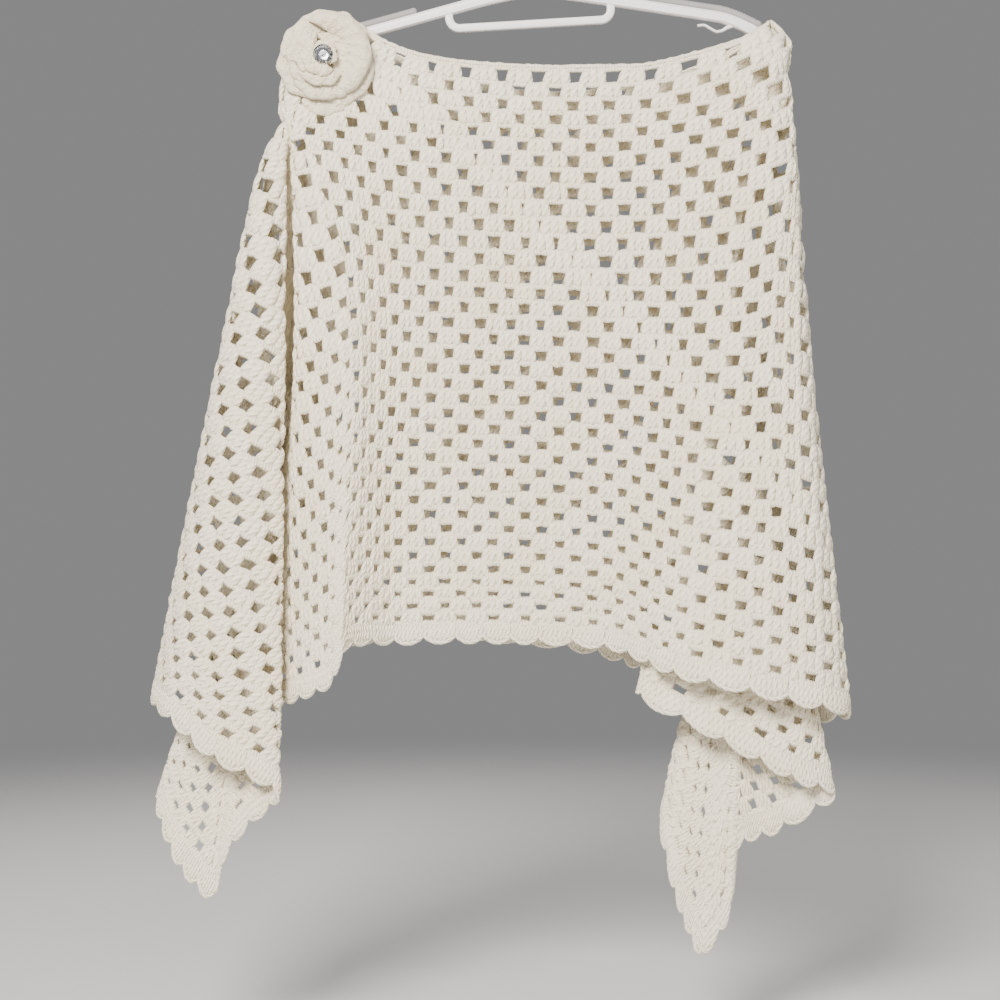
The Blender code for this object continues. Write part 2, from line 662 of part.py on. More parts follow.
def build_hanger(plastic, rubber):
    """The moulded hanger with its hook, tie bar and strap notches, and its two grips."""
    spots = [HALF_SPAN * (2.0 * i / (ARM_STATIONS - 1) - 1.0) for i in range(ARM_STATIONS)]
    arms = [(x, arm_height(x)) for x in spots]
    arm_sizes = []
    for x in spots:
        end = max(0.0, (abs(x) - HALF_SPAN + ARM_END) / ARM_END)
        hub = math.exp(-(x / HUB_SPREAD) ** 2)
        height = ARM_HEIGHT * (1.0 - 0.45 * end) + HUB_HEIGHT * hub
        arm_sizes.append((height, ARM_DEPTH * (1.0 - 0.3 * end)))
    pieces = [add_solid("arms", *sweep(arms, arm_sizes, 10), plastic)]

    centre = HOLD_HEIGHT + 0.5 * HOOK_WIRE - HOOK_RADIUS
    hook = [(0.0, 0.0), (0.0, HOOK_STEM), (0.0, centre - HOOK_RADIUS - 9.0)]
    hook += arc(-BODY_SHIFT, centre, HOOK_RADIUS, HOOK_FROM, HOOK_TO, 21)
    hook_sizes = [(HOOK_WIRE + 2.0, HOOK_WIRE + 1.2)] * 2
    hook_sizes += [(HOOK_WIRE, HOOK_WIRE)] * (len(hook) - 2)
    pieces.append(add_solid("hook", *sweep(hook, hook_sizes, 8, 2.4), plastic))

    bar_z = -BAR_DROP
    left_x, right_x = -BAR_HALF, BAR_HALF
    bar = [(left_x, arm_height(left_x) + 1.0), (left_x, bar_z + BAR_CORNER + 1.0)]
    bar += arc(left_x + BAR_CORNER, bar_z + BAR_CORNER, BAR_CORNER, 180.0, 270.0, 6)
    bar += arc(right_x - BAR_CORNER, bar_z + BAR_CORNER, BAR_CORNER, 270.0, 360.0, 6)
    bar += [(right_x, bar_z + BAR_CORNER + 1.0), (right_x, arm_height(right_x) + 1.0)]
    bar_sizes = [(BAR_HEIGHT, ARM_DEPTH - 0.6)] * len(bar)
    pieces.append(add_solid("bar", *sweep(bar, bar_sizes, 8), plastic))

    for side in (-1.0, 1.0):
        notch = [(side * (NOTCH_MIDDLE + out), arm_height(side * (NOTCH_MIDDLE + out)) - down)
                 for out, down, high in NOTCH_LIP]
        sizes = [(high, NOTCH_DEPTH) for out, down, high in NOTCH_LIP]
        pieces.append(add_solid("notch", *sweep(notch, sizes, 6, 2.6), plastic))
    unite("hanger_frame", pieces, plastic)

    for side, name in ((-1.0, "grip_left"), (1.0, "grip_right")):
        last = GRIP_STATIONS - 1
        path = []
        for i in range(GRIP_STATIONS):
            x = GRIP_START + (GRIP_END - GRIP_START) * i / last
            slope = (arm_height(x + 1.0) - arm_height(x - 1.0)) / 2.0
            lean = math.atan(slope)
            lift = 0.5 * ARM_HEIGHT + 0.5 * GRIP_HEIGHT + GRIP_GAP
            path.append((side * (x - lift * math.sin(lean)), arm_height(x) + lift * math.cos(lean)))
        sizes = [(GRIP_HEIGHT * (GRIP_END_HEIGHT if i in (0, last) else 1.0), ARM_DEPTH + 0.6)
                 for i in range(GRIP_STATIONS)]
        add_solid(name, *sweep(path, sizes, 8, 3.5), rubber)


# ---------------------------------------------------------------- the rose

def rose_point(radius, angle, forward):
    """A point of the rose: forward is measured from its back face towards the viewer."""
    return Vector((ROSE_ACROSS + radius * math.cos(angle), ROSE_BACK - forward,
                   -ROSE_DROP + radius * math.sin(angle)))


def build_tier(tier, material):
    """One tier of petals: a cupped wall round the rose's core."""
    sides, steps = PETAL_SIDES, PETAL_STEPS
    root = CORE_RADIUS + SEAM_GAP
    middle = np.zeros((steps, sides, 2))
    for k in range(sides):
        angle = 2.0 * math.pi * k / sides
        lobe = abs(math.cos(0.5 * tier.petals * (angle + tier.turn)))
        rim = tier.rim * (1.0 - tier.notch * (1.0 - lobe ** PETAL_ROUND))
        wave = tier.ruffle * math.cos(tier.petals * (angle + tier.turn) + RUFFLE_LAG)
        for i in range(steps):
            t = i / (steps - 1)
            radius = root + (rim - root) * t
            forward = tier.root + tier.rise * t ** tier.cup + wave * t * t
            middle[i, k] = (radius, forward)
    points, faces = [], []
    for layer in (0.5, -0.5):
        for i in range(steps):
            for k in range(sides):
                angle = 2.0 * math.pi * k / sides
                here = middle[i, k]
                ahead = middle[min(i + 1, steps - 1), k]
                behind = middle[max(i - 1, 0), k]
                run, rise = ahead - behind
                size = math.hypot(run, rise)
                shift = layer * ROSE_WALL
                radius = here[0] - (shift * rise / size if i > 0 else 0.0)
                forward = here[1] + shift * run / size
                points.append(rose_point(radius, angle, forward))
    shift = steps * sides
    for k in range(sides):
        n = (k + 1) % sides
        for i in range(steps - 1):
            a, b = i * sides + k, i * sides + n
            faces.append((a, b, b + sides, a + sides))
            faces.append((shift + a, shift + a + sides, shift + b + sides, shift + b))
        rim = (steps - 1) * sides
        faces.append((k, shift + k, shift + n, n))
        faces.append((rim + k, rim + n, shift + rim + n, shift + rim + k))
    add_solid(tier.name, points, faces, material)


def turned(name, profile, sides, material, smooth=True):
    """A solid turned round the rose's axis from (radius, forward) pairs, closed at its axis."""
    points, faces = [], []
    for radius, forward in profile:
        for k in range(sides):
            points.append(rose_point(radius, 2.0 * math.pi * k / sides, forward))
    for i in range(len(profile) - 1):
        for k in range(sides):
            a, b = i * sides + k, i * sides + (k + 1) % sides
            faces.append((a, b, b + sides, a + sides))
    last = (len(profile) - 1) * sides
    faces.append(tuple(range(sides - 1, -1, -1)))
    faces.append(tuple(last + k for k in range(sides)))
    return add_solid(name, points, faces, material, smooth)


def build_rose(wool, metal, glass):
    """The crochet rose: its core, four tiers of petals, and a round stone in a setting."""
    for tier in TIERS:
        build_tier(tier, wool)
    top = CORE_DEPTH + CORE_SWELL
    turned("rose_core", [(CORE_RADIUS, 0.0), (CORE_RADIUS, top - 1.0), (CORE_RADIUS - 1.5, top)],
           20, wool)
    seat = top + SEAM_GAP
    outer = STONE_RADIUS + SETTING_WALL
    turned("stone_setting", [(outer - 1.5, seat), (outer, seat + 0.8), (outer, seat + 2.6),
                             (outer - 0.7, seat + 3.0), (STONE_RADIUS - 0.2, seat + 2.9),
                             (STONE_RADIUS - 0.5, seat + 1.2)], 24, metal)
    stone_seat = seat + 1.2 + SEAM_GAP
    turned("rhinestone", [(STONE_RADIUS - 1.4, stone_seat), (STONE_RADIUS - 0.8, stone_seat + 1.6),
                          (STONE_RADIUS - 1.6, stone_seat + 3.4),
                          (STONE_RADIUS - 3.8, stone_seat + 4.8)], 12, glass, smooth=False)


def main():
    """Build the cape, its border, the rose and the hanger."""
    clear_scene()
    wool = finish("cream wool", (0.87, 0.83, 0.74), 0.9)
    plastic = finish("white plastic", (0.86, 0.84, 0.85), 0.35)
    rubber = finish("grey rubber", (0.33, 0.32, 0.32), 0.75)
    metal = finish("bright metal", (0.75, 0.76, 0.78), 0.2, metallic=1.0)
    glass = finish("clear glass", (0.95, 0.96, 1.0), 0.03, transmission=0.6)
    for panel in ("front", "back"):
        build_panel(panel, wool)
    build_hanger(plastic, rubber)
    build_rose(wool, metal, glass)


main()
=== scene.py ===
"""Crochet cape with a shell border and a rose, on a plastic clothes hanger.

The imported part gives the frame. The cape is drawn here stitch by stitch: rounds of three-stitch
clusters with open spaces between them, the rounds' chain tops, the neck chain and the shells of
the border, all laid on the same form as the part's cloth. Lengths are in millimetres until a
mesh is made; -Y is the front and +Z is up.
"""

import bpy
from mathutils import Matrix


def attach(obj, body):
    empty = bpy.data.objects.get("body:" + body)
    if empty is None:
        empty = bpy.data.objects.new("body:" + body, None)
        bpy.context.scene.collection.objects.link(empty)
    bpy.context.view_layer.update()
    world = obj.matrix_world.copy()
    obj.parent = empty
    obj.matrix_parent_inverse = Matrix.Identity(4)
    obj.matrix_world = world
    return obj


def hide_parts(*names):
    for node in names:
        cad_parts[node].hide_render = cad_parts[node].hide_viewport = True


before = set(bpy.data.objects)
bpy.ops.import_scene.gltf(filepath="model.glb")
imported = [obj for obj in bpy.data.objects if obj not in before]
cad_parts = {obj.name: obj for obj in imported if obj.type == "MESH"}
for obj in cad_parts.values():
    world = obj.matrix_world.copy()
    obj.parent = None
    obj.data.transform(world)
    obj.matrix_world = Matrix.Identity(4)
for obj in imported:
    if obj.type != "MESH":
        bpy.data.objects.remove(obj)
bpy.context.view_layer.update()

import logging
import math
from dataclasses import dataclass, field
from enum import Enum
from functools import cached_property
from typing import NamedTuple, Sequence

import bpy
import numpy as np
from mathutils import Vector

logging.basicConfig(level=logging.INFO, format="%(name)s: %(message)s")
LOG = logging.getLogger("cape")

MM = 0.001
STRAND_MM = 9.0
SEED = 11
TURN = 2.0 * math.pi
Points = np.ndarray
Colour = tuple[float, float, float, float]


class Panel(Enum):
    """The two halves of the cape, which meet at its two corner lines."""

    FRONT = "front"
    BACK = "back"


# ------------------------------------------------------------------ the cloth's form

# Guide points of the rounds over the hanger: turn (-1 the left corner, 1 the right and 3 the
# left again), across, depth and drop.
NECK = np.array([
    (-1.00, -135, -4, 123), (-0.80, -112, -11, 147), (-0.58, -76, -13, 161),
    (-0.35, -33, -14, 167), (0.00, 31, -14, 170), (0.37, 99, -14, 169), (0.68, 155, -13, 157),
    (0.89, 197, -10, 141), (1.00, 213, 0, 124), (1.15, 192, 11, 145), (1.50, 120, 13, 176),
    (2.00, 31, 14, 187), (2.50, -60, 13, 174), (2.82, -111, 12, 149), (2.93, -134, 6, 125),
    (3.00, -135, -4, 123)], float)
SHOULDER = np.array([
    (-1.00, -183, -11, 154), (-0.86, -152, -15, 168), (-0.70, -116, -15, 181),
    (-0.50, -75, -15, 189), (0.00, 29, -15, 197), (0.33, 98, -15, 196), (0.60, 155, -15, 187),
    (0.80, 196, -15, 172), (0.92, 224, -10, 158), (0.97, 234, 0, 151), (1.04, 222, 10, 158),
    (1.25, 178, 15, 182), (2.00, 29, 15, 208), (2.60, -95, 15, 191), (2.85, -160, 11, 164),
    (2.94, -197, 0, 147), (3.00, -183, -11, 154)], float)
YOKE = np.array([
    (-1.00, -195, -16, 207), (-0.75, -138, -17, 214), (-0.50, -83, -17, 219),
    (-0.25, -28, -17, 222), (0.12, 59, -17, 224), (0.38, 118, -17, 221), (0.62, 176, -16, 213),
    (0.80, 215, -12, 202), (0.90, 235, 0, 192), (1.00, 223, 14, 196), (1.25, 166, 18, 213),
    (1.60, 90, 18, 224), (2.00, 0, 18, 228), (2.50, -110, 17, 220), (2.75, -166, 15, 211),
    (2.86, -203, 2, 201), (2.94, -204, -9, 203), (3.00, -195, -16, 207)], float)

# Fold lines: their cluster at the hem, across and depth halfway down, then across, depth and
# drop at the hem.
FOLDS = {
    Panel.FRONT: np.array([
        (-25.75, -207, -4, -256, -58, 882), (-23.5, -203, 6, -284, -57, 852),
        (-21.4, -197, 15, -306, -40, 798), (-19.5, -189, 11, -294, -22, 779),
        (-15.5, -187, -3, -253, -22, 746), (-10.9, -189, -22, -203, -37, 719),
        (-9.6, -171, -33, -178, -60, 709), (-8.6, -155, -37, -157, -74, 698),
        (-7.9, -144, -38, -149, -77, 680), (-7.2, -136, -36, -144, -70, 667),
        (-6.0, -124, -28, -125, -46, 665), (-4.9, -104, -21, -105, -25, 667),
        (-3.1, -54, -17, -57, -16, 666), (-0.66, 10, -17, 10, -14, 667),
        (1.8, 81, -18, 79, -18, 672), (3.2, 119, -23, 104, -40, 680),
        (4.6, 155, -29, 130, -59, 691), (6.5, 207, -34, 190, -68, 705),
        (8.2, 239, -25, 243, -64, 717), (9.8, 247, 0, 281, -30, 728),
        (11.4, 239, 21, 263, 12, 738), (13.2, 233, 29, 240, 32, 752),
        (15.2, 226, 27, 210, 12, 766), (17.2, 219, 30, 178, 34, 784),
        (19.0, 212, 27, 148, 18, 805), (20.6, 208, 21, 123, -1, 824),
        (22.6, 207, 12, 134, -16, 882), (25.75, 206, 2, 156, -18, 939)], float),
    Panel.BACK: np.array([
        (25.75, 206, 2, 156, -18, 939), (24.0, 205, -5, 179, -16, 902),
        (22.4, 204, -10, 187, -13, 844), (20.0, 201, -15, 224, -13, 829),
        (17.9, 195, -19, 270, -25, 797), (16.0, 188, -14, 236, -39, 783),
        (13.5, 185, -4, 162, -41, 744), (11.6, 184, 6, 100, -33, 709),
        (10.0, 181, 14, 113, -14, 697), (8.2, 171, 21, 95, 8, 687), (6.2, 142, 20, 48, 14, 675),
        (4.2, 104, 20, -20, 14, 667), (2.2, 52, 23, -55, 42, 664), (0.2, 2, 19, -81, 10, 664),
        (-1.9, -50, 24, -109, 44, 666), (-3.9, -96, 19, -137, 10, 669),
        (-6.0, -144, 25, -167, 46, 674), (-8.0, -186, 25, -197, 14, 680),
        (-10.0, -220, 24, -227, 44, 688), (-12.0, -235, 13, -261, 16, 698),
        (-14.0, -244, -4, -295, 10, 708), (-15.7, -244, -21, -312, -22, 714),
        (-17.2, -234, -36, -291, -66, 727), (-18.8, -217, -43, -255, -79, 757),
        (-20.7, -200, -30, -200, -69, 792), (-22.3, -206, -19, -226, -58, 817),
        (-24.2, -207, -11, -247, -57, 845), (-25.75, -207, -4, -256, -58, 882)], float),
}

# How far aside and back fold lines stand where they are bunched below the yoke.
TUCKS = {
    Panel.FRONT: np.array([
        (-25.75, -1, 4), (-23.5, 0, 4), (-21.4, 0, 2), (-19.5, 1, 1), (-15.5, 3, 0), (-9.6, 0, -2),
        (-8.0, 0, 0), (6.0, 0, 0), (7.2, 5, 2), (8.0, 8, -2), (11.4, 8, 0), (13.2, 5, 3),
        (17.2, 1, 3), (20.6, 1, 0), (25.75, 1, -5)], float),
    Panel.BACK: np.array([
        (25.75, 1, -5), (22.4, -2, -8), (20.0, -5, -7), (17.9, -7, -4), (13.5, -6, 0),
        (10.0, -8, 3), (8.0, -11, 4), (7.0, -1, 2), (6.0, 0, 0), (-6.0, 0, 0), (-7.0, 8, 9),
        (-7.5, 2, 15), (-8.0, -5, 17), (-10.0, -4, 14), (-12.0, -6, 10), (-15.7, -6, 3),
        (-18.8, -4, 0), (-22.3, -3, 2), (-25.75, -1, 4)], float),
}


def unit(vectors: Points) -> Points:
    """Vectors, along the last axis, at length one."""
    return vectors / np.maximum(np.linalg.norm(vectors, axis=-1, keepdims=True), 1e-9)


def run_of(line: Points) -> Points:
    """Place on the strand map at each station of lines in millimetres."""
    steps = np.linalg.norm(np.diff(line, axis=-2), axis=-1)
    return np.concatenate([0.0 * steps[..., :1], np.cumsum(steps, axis=-1)], -1) / STRAND_MM


def aside_of(line: Points, outward: Points) -> Points:
    """The way across lines that run over the cloth."""
    return unit(np.cross(unit(np.gradient(line, axis=-2)), outward))


def knot_slopes(knots: Points, values: Points) -> Points:
    """Slopes at the knots of a curve that never overshoots its guide points.

    Args:
        knots: places of the guide points, rising.
        values: one value, or one array, for each knot.

    Returns:
        The slope at each knot.
    """
    steps = np.diff(knots).reshape(-1, *([1] * (values.ndim - 1)))
    rates = np.diff(values, axis=0) / steps
    before, after = rates[:-1], rates[1:]
    same_way = before * after > 0.0
    weight_a, weight_b = 2.0 * steps[1:] + steps[:-1], steps[1:] + 2.0 * steps[:-1]
    mean = (weight_a + weight_b) / (weight_a / np.where(same_way, before, 1.0)
                                    + weight_b / np.where(same_way, after, 1.0))
    return np.concatenate([rates[:1], np.where(same_way, mean, 0.0), rates[-1:]])


def hermite(t: Points, step: Points, start: Points, stop: Points, start_slope: Points,
            stop_slope: Points) -> Points:
    """A cubic from start to stop with the given slopes, at t from 0 to 1."""
    rise = t * t * (3.0 - 2.0 * t)
    bend = start_slope * t * (1.0 - t) ** 2 - stop_slope * t * t * (1.0 - t)
    return start * (1.0 - rise) + stop * rise + step * bend


def read_table(rows: Points, where: Points, sign: float = 1.0) -> list[Points]:
    """Read a table's columns along the smooth curves through its rows.

    Args:
        rows: the table, whose first column says where each row lies.
        where: the places to read it at.
        sign: -1 where the table runs from the high end to the low one.

    Returns:
        One array for each column after the first.
    """
    knots = sign * rows[:, 0]
    cell = np.clip(np.searchsorted(knots, where, side="right") - 1, 0, len(knots) - 2)
    step = knots[cell + 1] - knots[cell]
    t = np.clip((where - knots[cell]) / step, 0.0, 1.0)
    columns = [(values, knot_slopes(knots, values)) for values in rows.T[1:]]
    return [hermite(t, step, values[cell], values[cell + 1], slopes[cell], slopes[cell + 1])
            for values, slopes in columns]


def down_rounds(knots: Points, levels: Sequence[Points], row: Points) -> Points:
    """Read, for each point, the smooth curve through its own values at the rounds in knots.

    Args:
        knots: the rounds at which values are known, rising.
        levels: the points' values at each of those rounds.
        row: each point's round.

    Returns:
        Each point's value at its own round.
    """
    values = np.stack(levels)
    slopes = knot_slopes(knots, values)
    result = values[0]
    for k in range(len(knots) - 1):
        step = knots[k + 1] - knots[k]
        t = np.clip((row - knots[k]) / step, 0.0, 1.0)
        piece = hermite(t, step, values[k], values[k + 1], slopes[k], slopes[k + 1])
        result = np.where(row > knots[k], piece, result)
    return result


class Lie(NamedTuple):
    """Where places of the cloth lie, the way out of it and the length of a cluster there."""

    point: Points
    outward: Points
    across_mm: Points


@dataclass(frozen=True)
class ClothForm:
    """The form that the cape hangs in: the same as that of the part's two panels."""

    neck_clusters: float = 12.0
    yoke_row: float = 4.0
    mesh_rows: int = 38
    hem_row: float = 39.5
    near_level: float = 0.08
    mid_level: float = 0.3
    near_share: float = 0.35
    corner_blend: float = 1.5
    run_on: float = 1.4
    top_stretch: float = 0.11
    first_level: float = 0.42
    even_share: float = 0.75
    evenness: float = 0.8
    pace_rounds: int = 41
    pace_steps: int = 80
    least_row: float = -0.45
    reach_aside: float = 0.12
    reach_along: float = 0.15
    falls: tuple[tuple[float, float], ...] = (
        (4.0, 0.0), (6.0, 0.052), (8.0, 0.113), (10.0, 0.177), (14.0, 0.309), (18.0, 0.429),
        (24.0, 0.602), (30.0, 0.766), (34.0, 0.870), (38.0, 0.962), (39.5, 1.0))

    def half_width(self, row: Points) -> Points:
        """Clusters from a panel's middle to its corner line at a round."""
        return 0.5 * (self.neck_clusters + row)

    @property
    def yoke_half(self) -> float:
        """Half a panel's clusters at the yoke."""
        return float(self.half_width(self.yoke_row))

    @property
    def hem_half(self) -> float:
        """Half a panel's clusters at the scallops' tips."""
        return float(self.half_width(self.hem_row))

    def fold_of(self, cluster: Points, row: Points) -> Points:
        """The fold line, by its cluster at the hem, that runs through a cluster of a round.

        Args:
            cluster: clusters from the panel's middle.
            row: rounds from the neck.

        Returns:
            The fold lines.
        """
        level = np.clip((row - self.yoke_row) / (self.hem_row - self.yoke_row), 1e-6, 1.0)
        beyond = np.maximum(np.abs(cluster) - self.yoke_half, 0.0)
        fanned = np.minimum(self.yoke_half + beyond / level, self.hem_half)
        hanging = np.where(beyond > 0.0, np.sign(cluster) * fanned, cluster)
        share = cluster / self.half_width(np.minimum(row, self.yoke_row))
        return np.where(row > self.yoke_row, hanging, self.yoke_half * np.clip(share, -1.0, 1.0))

    def cluster_of(self, fold: Points, row: Points) -> Points:
        """The cluster of a round at which a fold line runs: fold_of the other way about.

        Args:
            fold: fold lines, by their clusters at the hem.
            row: rounds from the neck.

        Returns:
            Clusters from the panel's middle.
        """
        inner = np.clip(fold, -self.yoke_half, self.yoke_half)
        level = np.maximum((row - self.yoke_row) / (self.hem_row - self.yoke_row), 0.0)
        above = self.half_width(np.minimum(row, self.yoke_row)) / self.yoke_half
        return inner * above + (fold - inner) * level

    @cached_property
    def reach(self) -> tuple[Points, Points]:
        """The rounds at which even shares of the fall are reached in the solid cloth."""
        rows = np.linspace(self.yoke_row, self.hem_row, 240)
        drop = -self.hang(Panel.FRONT, np.zeros_like(rows), rows)[:, 2]
        return (drop - drop[0]) / (drop[-1] - drop[0]), rows

    def level(self, row: Points) -> Points:
        """The solid's round at the level where a worked round lies.

        The rounds are not spaced evenly: the neck has a dense band above the first open round,
        and the upper rounds are pulled longer than those near the hem.

        Args:
            row: worked rounds from the neck.

        Returns:
            The solid's rounds.
        """
        known, fallen = np.array(self.falls).T
        hanging = np.interp(np.interp(row, known, fallen), *self.reach)
        over = self.first_level + row * (1.0 - self.first_level / self.yoke_row)
        return np.where(row > self.yoke_row, hanging, np.maximum(over, 0.0))

    @cached_property
    def paces(self) -> dict[Panel, Points]:
        """Per panel, round and even step in from the left corner: the cluster's true share."""
        row, share = np.meshgrid(np.arange(float(self.pace_rounds)),
                                 np.linspace(0.0, 1.0, self.pace_steps + 1), indexing="ij")
        cluster = self.half_width(row) * (share * self.even_share - 1.0)
        table = {}
        for panel in Panel:
            run = run_of(self.hang(panel, self.fold_of(cluster, row), self.level(row)))
            even = np.stack([np.interp(share[0], r, share[0]) for r in run / run[:, -1:]])
            table[panel] = share + self.evenness * (even - share)
        return table

    def evened(self, panel: Panel, cluster: Points, row: Points) -> Points:
        """Clusters near the left corner, moved so that the bunched cloth keeps its pace.

        Args:
            panel: the front or the back.
            cluster: clusters from the panel's middle.
            row: rounds from the neck.

        Returns:
            The clusters after the move.
        """
        half = self.half_width(row)
        share = (cluster / half + 1.0) / self.even_share
        column = np.clip(share, 0.0, 1.0) * self.pace_steps
        line = np.clip(row, 0.0, self.pace_rounds - 1.001)
        left, top = np.minimum(column, self.pace_steps - 1.0).astype(int), line.astype(int)
        u, v = column - left, line - top
        table = self.paces[panel]
        moved = ((1.0 - v) * ((1.0 - u) * table[top, left] + u * table[top, left + 1])
                 + v * ((1.0 - u) * table[top + 1, left] + u * table[top + 1, left + 1]))
        return np.where((share > 0.0) & (share < 1.0), half * (moved * self.even_share - 1.0),
                        cluster)

    def surface(self, panel: Panel, cluster: Points, row: Points) -> Points:
        """Points of the cloth's middle layer at a worked cluster and round."""
        cluster = self.evened(panel, cluster, row)
        return self.hang(panel, self.fold_of(cluster, row), self.level(row))

    def hang(self, panel: Panel, fold: Points, row: Points) -> Points:
        """Points of the cloth's middle layer on fold lines.

        Args:
            panel: the front or the back.
            fold: fold lines, by their clusters at the hem, to the right seen from the front.
            row: the solid's rounds from the neck.

        Returns:
            Points in millimetres.
        """
        front = panel is Panel.FRONT
        sign = 1.0 if front else -1.0
        turn = np.clip(fold / self.yoke_half, -1.0, 1.0)
        turn = turn if front else 2.0 - turn
        neck, shoulder, yoke = (read_table(rows, turn) for rows in (NECK, SHOULDER, YOKE))
        lines = read_table(FOLDS[panel], sign * fold, sign)
        mid, hem = lines[:2], lines[2:]
        tuck = read_table(TUCKS[panel], sign * fold, sign)
        near = [y + (m - y) * self.near_share + t for y, m, t in zip(yoke, mid, tuck)]
        for level, place in ((self.near_level, near), (self.mid_level, mid)):
            fallen = level + self.top_stretch * level * (1.0 - level)
            place.append(yoke[2] + (hem[2] - yoke[2]) * fallen)
        share = np.clip((np.abs(fold) - self.yoke_half) / self.corner_blend + 1.0, 0.0, 1.0)
        share = np.where(row > self.yoke_row, 0.0, share * share * (3.0 - 2.0 * share))
        near = [n + share * (y + (y - s) * self.run_on - n)
                for n, y, s in zip(near, yoke, shoulder)]
        fall = self.hem_row - self.yoke_row
        knots = np.array([0.0, 0.5 * self.yoke_row, self.yoke_row,
                          self.yoke_row + self.near_level * fall,
                          self.yoke_row + self.mid_level * fall, self.hem_row])
        point = [down_rounds(knots, levels, row)
                 for levels in zip(neck, shoulder, yoke, near, mid, hem)]
        return np.stack([point[0], point[1], -point[2]], axis=-1)

    def lie(self, panel: Panel, cluster: Points, row: Points) -> Lie:
        """Where places of the cloth lie, and how the cloth runs there.

        Args:
            panel: the front or the back.
            cluster: clusters from the panel's middle.
            row: rounds from the neck.

        Returns:
            The points with their outward directions and the lengths of a cluster.
        """
        cluster, row = np.broadcast_arrays(np.asarray(cluster, float), np.asarray(row, float))
        edge = self.half_width(row)
        cluster = np.clip(cluster, -edge, edge)
        right = np.minimum(cluster + self.reach_aside, edge)
        left = np.maximum(cluster - self.reach_aside, -edge)
        low = np.minimum(row + self.reach_along, self.hem_row)
        high = np.maximum(row - self.reach_along, self.least_row)
        span = (self.surface(panel, right, row) - self.surface(panel, left, row))
        span = span / (right - left)[..., None]
        fall = self.surface(panel, cluster, low) - self.surface(panel, cluster, high)
        outward = unit(np.cross(fall, span)) * (1.0 if panel is Panel.FRONT else -1.0)
        return Lie(self.surface(panel, cluster, row), outward, np.linalg.norm(span, axis=-1))


# ------------------------------------------------------------------ strands and meshes

def grid_quads(rows: int, columns: int, closed: bool) -> Points:
    """Corners of the quads of a grid of points, kept row after row.

    Args:
        rows: rows of points.
        columns: points in a row.
        closed: true where the last column joins the first.

    Returns:
        Four point numbers for each quad.
    """
    steps = columns if closed else columns - 1
    r, c = (x.ravel() for x in np.meshgrid(np.arange(rows - 1), np.arange(steps), indexing="ij"))
    n = (c + 1) % columns
    return np.stack([r * columns + c, r * columns + n, (r + 1) * columns + n,
                     (r + 1) * columns + c], 1)


def add_object(name: str, data: bpy.types.ID) -> bpy.types.Object:
    """Make an object of its data, in the scene."""
    item = bpy.data.objects.new(name, data)
    bpy.context.scene.collection.objects.link(item)
    return item


def dress(piece: bpy.types.Object, node: str = "") -> bpy.types.Object:
    """Fix a piece to the part.

    Args:
        piece: the piece.
        node: the part's node that it stands for, if any.

    Returns:
        The piece.
    """
    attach(piece, "root")
    if node:
        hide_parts(node)
    LOG.info("%s: %d faces", piece.name, len(piece.data.polygons))
    return piece


